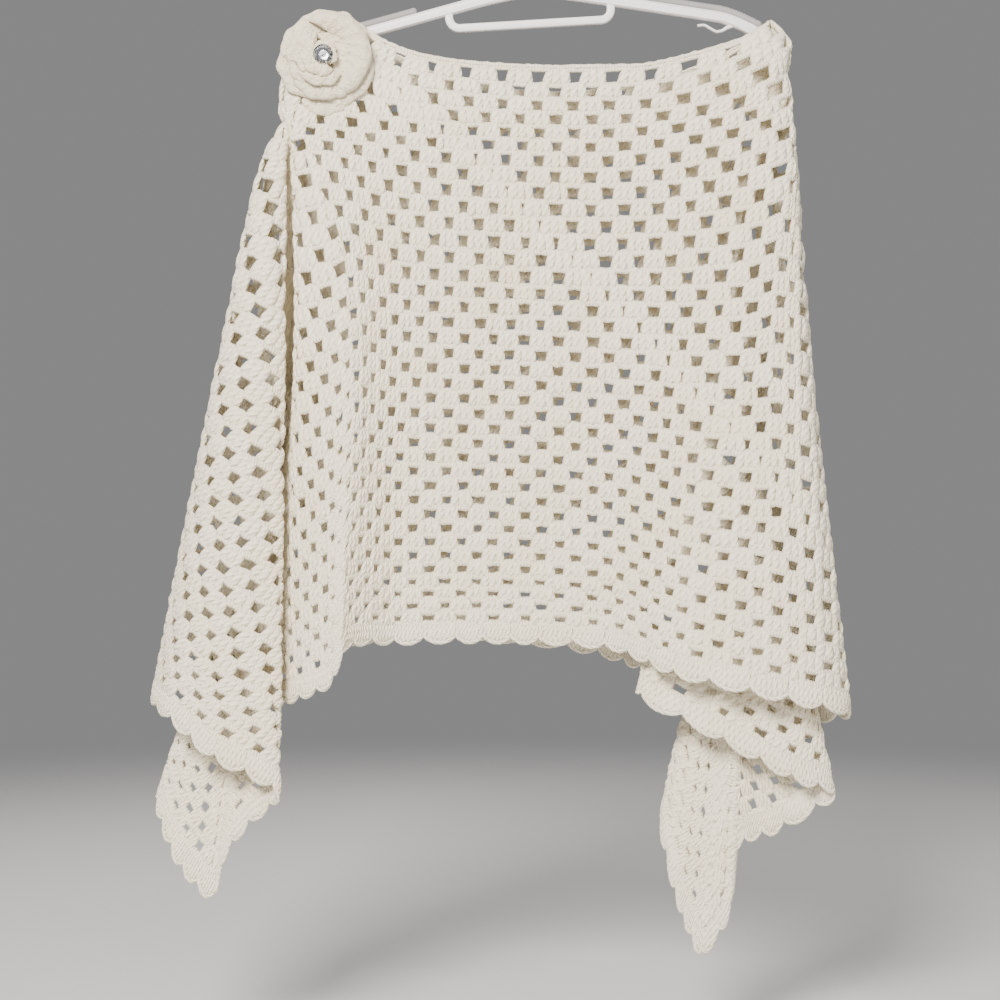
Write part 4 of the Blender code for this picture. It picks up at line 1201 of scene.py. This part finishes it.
@dataclass
class Cape:
    """The whole cape: two panels of clusters with their chain tops, and the border."""

    form: ClothForm = field(default_factory=ClothForm)
    cluster_mm: float = 29.5
    round_mm: float = 13.6

    def flat(self, first: float, stop: float) -> tuple[tuple[float, float], float]:
        """Flat size and flat area of some rounds of one panel, in metres."""
        top, low = (2.0 * float(self.form.half_width(row)) * self.cluster_mm * MM
                    for row in (first, stop))
        high = (stop - first) * self.round_mm * MM
        return (low, high), 0.5 * (top + low) * high

    def build(self, finishes: Finishes, extra: Sequence[bpy.types.Object]) -> None:
        """Args:
            finishes: the object's finishes.
            extra: pieces sewn to the front panel, such as the rose. Not used.
        """
        for panel in Panel:
            side, rows = panel.value, self.form.mesh_rows
            work = CrochetPanel(self.form, panel)
            split = work.split_row
            upper = work.posts(0, split, side + "_upper_clusters", finishes.cape)
            lower = work.posts(split, rows, side + "_lower_clusters", finishes.cape)
            chains = work.rounds_of_chain(side + "_chain_tops", finishes.rounds)
            shells = ShellBorder(self.form, panel).make(side + "_shell_border", finishes.border)
            for piece in (upper, lower, chains):
                dress(piece, "cape_" + side)
            dress(shells, "border_" + side)
            flat, area = self.flat(0.0, split)
            flat, area = self.flat(split, rows)


# ------------------------------------------------------------------ the rose

class Petal(NamedTuple):
    """One petal: which way it points, how wide it is, and where its root and rim lie."""

    angle: float
    half: float
    root: float
    rim: float
    root_forward: float
    rim_forward: float
    cup: float
    curl: float
    lean: float


TIERS = {
    "outer": [
        Petal(270, 30, 20, 49.0, 1.8, 4.5, 0.8, 1.6, 0.4),
        Petal(205, 50, 8, 41.5, 1.8, 7.5, 0.7, 3.0, 1.0),
        Petal(146, 42, 8, 39.5, 2.2, 8.5, 0.7, 3.0, 1.0),
        Petal(92, 42, 8, 41.5, 1.8, 8.0, 0.7, 3.0, 1.0),
        Petal(48, 44, 8, 43.0, 2.4, 9.0, 0.7, 3.2, 1.0),
        Petal(320, 50, 8, 45.0, 1.8, 8.0, 0.7, 3.0, 1.0)],
    "second": [
        Petal(262, 52, 8, 37.0, 6.6, 13.5, 0.6, 4.0, 1.0),
        Petal(182, 62, 8, 32.0, 7.0, 14.0, 0.6, 3.8, 1.5),
        Petal(312, 42, 8, 37.5, 7.2, 13.0, 0.6, 3.8, 1.2),
        Petal(22, 94, 20.5, 40.5, 9.5, 18.0, 0.5, 7.0, 0.6)],
    "third": [
        Petal(20, 92, 8, 22.5, 10.6, 10.8, 1.0, 0.3, 0.2),
        Petal(252, 62, 8, 26.5, 11.5, 19.5, 0.6, 3.6, 1.2),
        Petal(168, 64, 8, 25.0, 11.5, 20.0, 0.6, 3.6, 1.5)],
    "inner": [
        Petal(50, 108, 4, 11.8, 14.6, 20.5, 0.5, 2.6, 0.3),
        Petal(214, 92, 4, 19.0, 15.0, 22.5, 0.5, 3.6, 0.8)],
}


@dataclass
class Rose:
    """The crochet rose, its stone and the stone's setting.

    The tables of the cup, the prongs and the stone give radius and height over the seat, and for
    the stone also each ring's turn in steps.
    """

    across: float = -165.5
    drop: float = 165.5
    back: float = -16.0
    wall: float = 3.0
    rim_roll: float = 0.5
    lump: float = 0.75
    stitch: float = 5.4
    stitch_sway: float = 1.4
    row_sway: float = 1.1
    lobe_drop: float = 0.17
    scallop: float = 0.7
    scallop_uneven: float = 0.5
    wave: float = 0.8
    curl_from: float = 0.62
    end_dip: float = 0.5
    roll_at: float = 0.93
    roll_half: float = 0.06
    grid: tuple[int, int] = (44, 22)
    coils: int = 7
    coil_half: float = 1.75
    coil_sway: float = 0.25
    coil_rise: float = 0.3
    coil_inset: float = 1.9
    top_coil_inset: float = 1.2
    heart_radius: float = 8.2
    heart_depth: float = 18.3
    stone_seat: float = 19.9
    stone_sides: int = 16
    prongs: int = 8
    cup_ring: int = 48
    cup_lip: float = 0.16
    cup_profile: tuple[tuple[float, float], ...] = (
        (6.6, -1.1), (8.0, -0.5), (8.35, 0.6), (8.35, 1.5), (8.0, 1.9), (7.75, 1.5), (7.4, 0.4),
        (6.2, -0.6))
    prong_path: tuple[tuple[float, float], ...] = (
        (8.15, 0.9), (8.2, 1.9), (7.75, 2.6), (6.9, 2.95), (6.3, 3.05))
    prong_half: tuple[float, ...] = (0.62, 0.60, 0.55, 0.55, 0.42)
    crown: tuple[tuple[float, float, float], ...] = (
        (2.2, 0.5, 0.0), (7.2, 1.45, 0.5), (7.35, 1.75, 0.5), (6.3, 3.1, 0.0), (4.6, 4.2, 0.5),
        (3.7, 4.5, 0.0))
    silvering: tuple[tuple[float, float, float], ...] = (
        (1.2, -0.35, 0.0), (4.4, 0.25, 0.5), (6.9, 1.15, 0.0), (6.95, 1.2, 0.0))

    def place(self, radius: Points, angle: Points, forward: Points) -> Points:
        """Points of the rose from polar places seen from the front."""
        return np.stack(np.broadcast_arrays(self.across + radius * np.cos(angle),
                                            self.back - forward,
                                            -self.drop + radius * np.sin(angle)), -1)

    def add_petal(self, yarn: StrandMesh, petal: Petal, turn: float) -> None:
        """Add one full, soft petal with a rolled rim.

        Args:
            yarn: the mesh to add it to.
            petal: its sizes.
            turn: place of its first stitch.
        """
        columns, rows = self.grid
        u = np.linspace(-1.0, 1.0, columns)[None, :]
        v = np.linspace(0.0, 1.0, rows)[:, None] ** 0.85
        swing = math.radians(petal.half) * u * (0.50 + 0.50 * np.sqrt(v))
        lobe = 1.0 - self.lobe_drop * np.abs(u) ** 2.6
        scallop = (self.scallop * np.sin(3.5 * math.pi * (u + turn))
                   + self.scallop_uneven * np.sin(8.3 * u + 5.0 * turn))
        rim = petal.rim * lobe + scallop * (1.0 - np.abs(u) ** 4)
        radius = petal.root + (rim - petal.root) * v
        wave = self.wave * np.sin(1.9 * math.pi * u + 3.0 * turn) * v * v
        rise = (petal.rim_forward - petal.root_forward) * (1.0 - self.end_dip * u ** 6)
        curled = np.clip((v - self.curl_from) / (1.0 - self.curl_from), 0.0, 1.0) ** 2
        forward = (petal.root_forward + rise * v ** petal.cup + wave + petal.lean * u * v
                   - petal.curl * curled)
        middle = self.place(radius, math.radians(petal.angle) + swing, forward)
        outward = unit(np.cross(np.gradient(middle, axis=0), np.gradient(middle, axis=1)))
        outward = outward * np.where(outward[..., 1:2] > 0.0, -1.0, 1.0)
        edge = np.maximum(np.abs(u) ** 1.3, v)
        body = np.sqrt(np.clip(1.0 - edge ** 9, 0.0, 1.0))
        arc = 0.8 * petal.rim * swing
        worked = TURN / self.stitch
        along = arc + self.stitch_sway * np.sin(radius / 3.1)
        out = radius + self.row_sway * np.sin(arc / 3.7)
        relief = (self.lump * np.sin(worked * along + 6.0 * turn)
                  * np.sin(0.8 * worked * out + turn))
        roll = self.rim_roll * np.exp(-((edge - self.roll_at) / self.roll_half) ** 2)
        outer = middle + outward * ((0.5 * self.wall + relief + roll) * body)[..., None]
        inner = middle - outward * (0.5 * self.wall * body)[..., None]
        length = np.broadcast_to(v * (petal.rim - petal.root) / STRAND_MM, arc.shape)
        yarn.add_sheet(outer, inner, length, arc / (2.0 * self.stitch))

    def petals(self, tier: str, material: bpy.types.Material) -> bpy.types.Object:
        """Make one tier of petals, in place of its node.

        Args:
            tier: the tier's key in TIERS.
            material: its wool.

        Returns:
            The piece.
        """
        yarn, table = StrandMesh(), TIERS[tier]
        for place, petal in enumerate(table):
            self.add_petal(yarn, petal, 0.37 * place + 0.1 * len(table))
        piece = yarn.make(f"rose_{tier}_tier", material)
        return dress(piece, f"rose_{tier}_petals")

    def heart(self, material: bpy.types.Material) -> bpy.types.Object:
        """Make the coiled strands under the stone, in place of the core.

        Args:
            material: its wool.

        Returns:
            The piece.
        """
        yarn = StrandMesh()
        t = np.linspace(0.0, TURN, 37)
        outward = np.stack([np.cos(t), 0.0 * t, np.sin(t)], -1)
        aside = np.broadcast_to([0.0, -1.0, 0.0], outward.shape)
        size = np.full_like(t, self.coil_half)
        for coil in range(self.coils):
            level = self.heart_depth * (coil + 0.5) / self.coils
            inset = self.coil_inset + self.top_coil_inset * (coil == self.coils - 1)
            radius = self.heart_radius - inset
            centres = self.place(radius + self.coil_sway * np.sin(9.0 * t + coil), t,
                                 level + self.coil_rise * np.sin(5.0 * t + 2.0 * coil))
            yarn.add_tubes(centres, aside, outward, size, size, t * radius / STRAND_MM, 8)
        return dress(yarn.make("rose_heart", material), "rose_core")

    def setting(self, material: bpy.types.Material) -> bpy.types.Object:
        """Make the stone's cup with its prongs, in place of the setting.

        Args:
            material: its metal.

        Returns:
            The piece.
        """
        cup = StrandMesh()
        t = np.linspace(0.0, TURN, self.cup_ring, endpoint=False)
        lip = self.cup_lip * np.abs(np.sin(12.0 * t))
        grid = np.stack([self.place(radius + lip * (high > 0.5), t, self.stone_seat + high)
                         for radius, high in self.cup_profile])
        rows = len(grid) // 2
        outer, inner = grid[:rows], grid[:rows - 1:-1]
        u = np.broadcast_to(t / TURN, outer.shape[:2])
        v = np.broadcast_to(np.arange(rows)[:, None] / rows, outer.shape[:2])
        cup.add_sheet(outer, inner, u, v, closed=True)
        radius, high = np.array(self.prong_path).T
        size = np.array(self.prong_half)
        for k in range(self.prongs):
            angle = TURN * (k + 0.5) / self.prongs
            centres = self.place(radius, angle, self.stone_seat + high)
            aside = np.broadcast_to([-math.sin(angle), 0.0, math.cos(angle)], centres.shape)
            cup.add_tubes(centres, aside, aside_of(centres, aside), size, size,
                          np.arange(len(size)), 8)
        piece = cup.make("stone_cup", material, sharp=40.0)
        return dress(piece, "stone_setting")

    def facets(self, name: str, levels: Sequence[tuple[float, float, float]],
               material: bpy.types.Material, node: str = "") -> bpy.types.Object:
        """Make a cut solid from rings of corners.

        Args:
            name: the piece's name.
            levels: radius, height over the seat and turn (in steps) of each ring, back to front.
            material: its finish.
            node: the node that it stands for, if any.

        Returns:
            The piece, flat faced.
        """
        sides = self.stone_sides
        points = [tuple(self.place(radius, TURN * (k + turn) / sides, self.stone_seat + high) * MM)
                  for radius, high, turn in levels for k in range(sides)]
        faces = []
        for ring in range(len(levels) - 1):
            low, high = ring * sides, (ring + 1) * sides
            step = levels[ring + 1][2] - levels[ring][2]
            for k in range(sides):
                n = (k + 1) % sides
                a, b, c, d = low + k, low + n, high + n, high + k
                if step > 0.25:
                    faces += [(a, b, d), (b, c, d)]
                elif step < -0.25:
                    faces += [(a, c, d), (a, b, c)]
                else:
                    faces.append((a, b, c, d))
        last = (len(levels) - 1) * sides
        faces += [tuple(range(sides - 1, -1, -1)), tuple(range(last, last + sides))]
        mesh = bpy.data.meshes.new(name)
        mesh.from_pydata(points, [], faces)
        mesh.validate()
        mesh.materials.append(material)
        return dress(add_object(name, mesh), node)

    def build(self, finishes: Finishes) -> list[bpy.types.Object]:
        """Build the rose and its stone.

        Args:
            finishes: the object's finishes.

        Returns:
            Every piece of the rose.
        """
        return [*(self.petals(tier, finishes.rose) for tier in TIERS),
                self.heart(finishes.rose), self.setting(finishes.metal),
                self.facets("cut_stone", self.crown, finishes.stone, "rhinestone"),
                self.facets("stone_silvering", self.silvering, finishes.foil)]


# ------------------------------------------------------------------ the hanger

class BarShape(Enum):
    """Cross-sections of the hanger's moulded bars, by how square they are."""

    ROUND = 2.2
    SOFT = 3.0
    FLAT = 4.5


@dataclass
class Hanger:
    """The moulded hanger: arms, hook, tie bar, strap lips and the two ribbed grips.

    The lips' table gives the way out from the notch's middle, the drop below the arm's line and
    the height of the lip.
    """

    tilt: float = math.radians(3.4)
    hold_height: float = 100.0
    half_span: float = 202.0
    body_shift: float = 3.0
    arm_slope: float = 0.2125
    arm_bend: float = 163.0
    arm_bend_drop: float = 12.0
    arm_bend_power: float = 1.5
    arm_sink: float = 0.7
    arm_height: float = 9.4
    arm_depth: float = 6.5
    tip_length: float = 6.0
    tip_round: float = 0.93
    tip_taper: float = 0.25
    hub_rise: float = 4.0
    hub_half: float = 26.0
    rail_out: float = 3.4
    rail_high: float = 1.5
    rail_share: float = 0.9
    rail_proud: float = 1.1
    hook_radius: float = 24.0
    hook_wire: float = 5.0
    hook_foot: float = 2.4
    hook_turn: tuple[float, float] = (-72.0, 186.0)
    foot_height: float = 30.0
    bar_height: float = 7.0
    bar_drop: float = 32.0
    bar_half: float = 70.0
    bar_corner: float = 9.0
    bar_flare: float = 3.0
    bar_set_back: float = 0.6
    bar_run_inset: float = 14.0
    post_foot: float = 12.0
    grip_from: float = 97.0
    grip_to: float = 195.0
    grip_height: float = 6.2
    grip_lift: float = -1.0
    grip_end: float = 1.6
    grip_proud: float = 0.6
    rib_pitch: float = 2.0
    rib_height: float = 0.75
    rib_margin: float = 3.0
    notch_middle: float = 160.0
    notch_depth: float = 4.2
    notch_steps: int = 37
    notch_passes: int = 4
    notch_lip: tuple[tuple[float, float, float], ...] = (
        (16, 2.5, 4.0), (10, 7.0, 3.4), (5.0, 11.8, 2.6), (0, 13.6, 2.4), (-5, 11.4, 2.4),
        (-10, 8.9, 2.4), (-16, 10.6, 2.2))

    def place(self, x: Points, z: Points, y: Points = 0.0) -> Points:
        """Points of the part from the hanger's own level frame, below the hook."""
        aside, below = x + self.body_shift, z - self.hold_height
        cos, sin = math.cos(self.tilt), math.sin(self.tilt)
        return np.stack(np.broadcast_arrays(aside * cos - below * sin, y,
                                            aside * sin + below * cos), -1)

    def arm_line(self, x: Points) -> Points:
        """Height of the arms' middle line at a distance from the centre.

        Args:
            x: places aside of the hook, to either side.

        Returns:
            Heights in the hanger's frame.
        """
        x = np.abs(x)
        far = np.maximum(x - self.arm_bend, 0.0) / (self.half_span - self.arm_bend)
        bent = self.arm_bend_drop * far ** self.arm_bend_power
        return -self.arm_slope * x - bent - self.arm_sink

    def add_bar(self, mould: StrandMesh, x: Points, z: Points, high: Points, deep: Points,
                shape: BarShape, ring: int = 12) -> None:
        """Add a bar along a path in the hanger's plane.

        Args:
            mould: the mesh to add it to.
            x: the path's places aside.
            z: the path's heights.
            high: its full height, or one for each station.
            deep: its full depth, or one for each station.
            shape: how square it is.
            ring: corners of its section.
        """
        path = np.stack([x, z], 1)
        heading = unit(np.gradient(path, axis=0))
        angle = TURN * (np.arange(ring) + 0.5) / ring
        section = np.stack([np.cos(angle), np.sin(angle)])
        section = 0.5 * np.sign(section) * np.abs(section) ** (2.0 / shape.value)
        high, deep = (np.broadcast_to(a, len(path))[:, None] for a in (high, deep))
        rings = self.place(path[:, :1] - heading[:, 1:] * high * section[0],
                           path[:, 1:] + heading[:, :1] * high * section[0], deep * section[1])
        mould.add_rings(rings[None], rings[[0, -1]].mean(axis=1)[None], run_of(path)[None])

    def add_arms(self, mould: StrandMesh) -> None:
        """Add the two arms with the hub between them, and a rail along each edge.

        Args:
            mould: the mesh to add them to.
        """
        x = np.linspace(-self.half_span, self.half_span, 161)
        end = np.maximum(0.0, (np.abs(x) - self.half_span) / self.tip_length + 1.0)
        hub = self.hub_rise * np.exp(-(x / self.hub_half) ** 2)
        round_off = np.sqrt(np.clip(1.0 - (self.tip_round * end) ** 2, 0.0, 1.0))
        high = (self.arm_height * (1.0 - self.tip_taper * end) + hub) * round_off
        self.add_bar(mould, x, self.arm_line(x), high, self.arm_depth * round_off,
                     BarShape.FLAT, 20)
        x = x[np.abs(x) < self.rail_share * self.half_span]
        for out in (-self.rail_out, self.rail_out):
            self.add_bar(mould, x, self.arm_line(x) + out, self.rail_high,
                         self.arm_depth + self.rail_proud, BarShape.SOFT)

    def add_hook(self, mould: StrandMesh) -> None:
        """Add the hook with its straight stem, thicker at the foot and rounded at the tip.

        Args:
            mould: the mesh to add it to.
        """
        centre = self.hold_height + 0.5 * self.hook_wire - self.hook_radius
        stem = centre - self.hook_radius + np.array([-9.0, -6.0])
        stem = np.concatenate([np.arange(-1.0, 26.0, 2.0), stem])
        turn = np.radians(np.linspace(*self.hook_turn, 73))
        x = np.concatenate([0.0 * stem, self.hook_radius * np.cos(turn) - self.body_shift])
        z = np.concatenate([stem, centre + self.hook_radius * np.sin(turn)])
        station = np.arange(len(x))
        foot = np.clip(1.0 - z / self.foot_height, 0.0, 1.0) * (station < len(stem))
        tip = np.clip((station - len(x) + 5) / 4.0, 0.0, 1.0)
        high = (self.hook_wire + self.hook_foot * foot) * np.sqrt(1.0 - 0.85 * tip ** 2)
        self.add_bar(mould, x, z, high, high - 0.4 * foot, BarShape.ROUND, 16)

    def add_tie_bar(self, mould: StrandMesh) -> None:
        """Add the tie bar with its two posts, flared where they meet the arms.

        Args:
            mould: the mesh to add them to.
        """
        half, low, corner = self.bar_half, -self.bar_drop, self.bar_corner
        turn = np.radians(np.linspace(180.0, 270.0, 11))
        x = np.array([-half, -half, *(corner * (1.0 + np.cos(turn)) - half)])
        z = np.array([self.arm_line(half) + 1.0, low + self.post_foot,
                      *(corner * (1.0 + np.sin(turn)) + low)])
        run = np.linspace(self.bar_run_inset - half, half - self.bar_run_inset, 15)
        x = np.concatenate([x, run, -x[::-1]])
        z = np.concatenate([z, 0.0 * run + low, z[::-1]])
        high = np.full(len(x), self.bar_height)
        high[[0, -1]] += self.bar_flare
        self.add_bar(mould, x, z, high, self.arm_depth - self.bar_set_back, BarShape.FLAT, 20)

    def add_notches(self, mould: StrandMesh) -> None:
        """Add the lip of the strap notch under each arm.

        Args:
            mould: the mesh to add them to.
        """
        lip = np.array(self.notch_lip)
        t = np.linspace(0.0, len(lip) - 1.0, self.notch_steps)
        out, down, high = (np.interp(t, np.arange(len(lip)), column) for column in lip.T)
        for _ in range(self.notch_passes):
            down[1:-1] = np.convolve(down, [0.25, 0.5, 0.25], mode="valid")
        for side in (-1.0, 1.0):
            x = side * (self.notch_middle + out)
            self.add_bar(mould, x, self.arm_line(x) - down, high, self.notch_depth,
                         BarShape.SOFT)

    def grip(self, side: float, name: str, node: str, material: bpy.types.Material) -> None:
        """Make one ribbed grip.

        Args:
            side: -1 for the left arm, 1 for the right.
            name: the piece's name.
            node: the node that it stands for.
            material: its rubber.
        """
        mould = StrandMesh()
        count = int(round((self.grip_to - self.grip_from) / self.rib_pitch)) * 4 + 1
        x = np.linspace(self.grip_from, self.grip_to, count)
        lean = np.arctan(0.5 * (self.arm_line(x + 1.0) - self.arm_line(x - 1.0)))
        wave = np.cos(TURN * (x - self.grip_from) / self.rib_pitch)
        rib = self.rib_height * (0.5 + 0.5 * wave) ** 0.7
        margin = np.minimum(x - self.grip_from, self.grip_to - x)
        full = np.sqrt(np.clip(margin / self.grip_end, 0.08, 1.0))
        rib = np.where(margin > self.rib_margin, rib, self.rib_height)
        high = (self.grip_height - self.rib_height + rib) * full
        lift = 0.5 * self.arm_height + self.grip_lift + 0.5 * high
        self.add_bar(mould, side * (x - lift * np.sin(lean)),
                     self.arm_line(x) + lift * np.cos(lean), high,
                     (self.arm_depth + self.grip_proud) * (0.8 + 0.2 * full), BarShape.SOFT)
        dress(mould.make(name, material, sharp=60.0), node)

    def build(self, finishes: Finishes) -> None:
        """Build the hanger and its grips.

        Args:
            finishes: the object's finishes.
        """
        mould = StrandMesh()
        self.add_arms(mould)
        self.add_hook(mould)
        self.add_tie_bar(mould)
        self.add_notches(mould)
        body = mould.make("hanger_body", finishes.plastic, sharp=50.0)
        dress(body, "hanger_frame")
        self.grip(-1.0, "grip_ribs_left", "grip_left", finishes.rubber)
        self.grip(1.0, "grip_ribs_right", "grip_right", finishes.rubber)


# ------------------------------------------------------------------ the studio

@dataclass(frozen=True)
class SoftLight:
    """One square soft light."""

    name: str
    place: tuple[float, float, float]
    aim: tuple[float, float, float]
    size: float
    power: float
    colour: tuple[float, float, float]


@dataclass
class Studio:
    """Pale floor, soft lights and the camera at the photograph's angle."""

    aim: tuple[float, float, float] = (-0.0156, 0.0, -0.543)
    distance: float = 1.7
    lens: float = 70.75
    sensor: float = 36.0
    floor_height: float = -1.02
    floor_radius: float = 2.6
    floor_ring: int = 64
    floor_pale: Colour = (0.66, 0.65, 0.635, 1.0)
    floor_dull: Colour = (0.62, 0.61, 0.595, 1.0)
    world_colour: Colour = (0.60, 0.60, 0.605, 1.0)
    world_strength: float = 0.42
    lights: tuple[SoftLight, ...] = (
        SoftLight("key", (-0.7, -2.1, 0.75), (-0.02, 0.0, -0.45), 0.8, 158.0,
                  (1.0, 0.965, 0.91)),
        SoftLight("fill", (1.9, -1.7, -0.3), (-0.02, 0.0, -0.55), 1.4, 30.0,
                  (1.0, 0.97, 0.93)),
        SoftLight("back", (0.4, 1.9, 0.9), (-0.02, 0.0, -0.5), 1.2, 26.0,
                  (1.0, 0.99, 0.97)),
    )

    def camera(self) -> None:
        """Make the camera."""
        data = bpy.data.cameras.new("camera")
        data.lens, data.sensor_width, data.sensor_fit = self.lens, self.sensor, "HORIZONTAL"
        data.clip_start, data.clip_end = 0.01, 50.0
        item = add_object("camera", data)
        item.location = (self.aim[0], self.aim[1] - self.distance, self.aim[2])
        item.rotation_euler = (0.5 * math.pi, 0.0, 0.0)
        bpy.context.scene.camera = item

    def soft_light(self, light: SoftLight) -> None:
        """Make one light.

        Args:
            light: its place, aim, size, power and colour.
        """
        data = bpy.data.lights.new(light.name, "AREA")
        data.shape, data.size = "SQUARE", light.size
        data.energy, data.color = light.power, light.colour
        item = add_object(light.name, data)
        item.location = light.place
        heading = Vector(light.aim) - Vector(light.place)
        item.rotation_mode = "QUATERNION"
        item.rotation_quaternion = heading.to_track_quat("-Z", "Y")

    def floor(self) -> None:
        """Make the pale floor, which fades into the surroundings at its rim."""
        turn = TURN * np.arange(self.floor_ring) / self.floor_ring
        points = [(self.floor_radius * math.cos(t), self.floor_radius * math.sin(t),
                   self.floor_height) for t in turn]
        mesh = bpy.data.meshes.new("floor")
        mesh.from_pydata(points, [], [tuple(range(self.floor_ring))])
        material, wires, shader, place = start_material("floor_pale")
        away = wires.feed(wires.add("VectorMath", operation="LENGTH"), in_0=place)
        colour = wires.blend(wires.noise(place, 3.0, 3.0), self.floor_dull, self.floor_pale)
        alpha = wires.ramp(away.outputs["Value"], 0.5 * self.floor_radius,
                           0.98 * self.floor_radius, 1.0, 0.0)
        wires.feed(shader, Base_Color=colour, Alpha=alpha, Roughness=0.8)
        mesh.materials.append(material)
        add_object("floor", mesh)

    def surroundings(self) -> None:
        """Give the world an even pale grey."""
        world = bpy.data.worlds.new("studio")
        world.use_nodes = True
        shade = world.node_tree.nodes["Background"]
        shade.inputs["Color"].default_value = self.world_colour
        shade.inputs["Strength"].default_value = self.world_strength
        bpy.context.scene.world = world

    def build(self) -> None:
        """Build the studio."""
        self.camera()
        for light in self.lights:
            self.soft_light(light)
        self.floor()
        self.surroundings()
        LOG.info("studio ready")


def main() -> None:
    """Build the studio, the finishes, the hanger, the rose and the cape, in that order."""
    Studio().build()
    finishes = Finishes.build()
    Hanger().build(finishes)
    rose = Rose().build(finishes)
    Cape().build(finishes, rose)


if __name__ == "__main__":
    main()
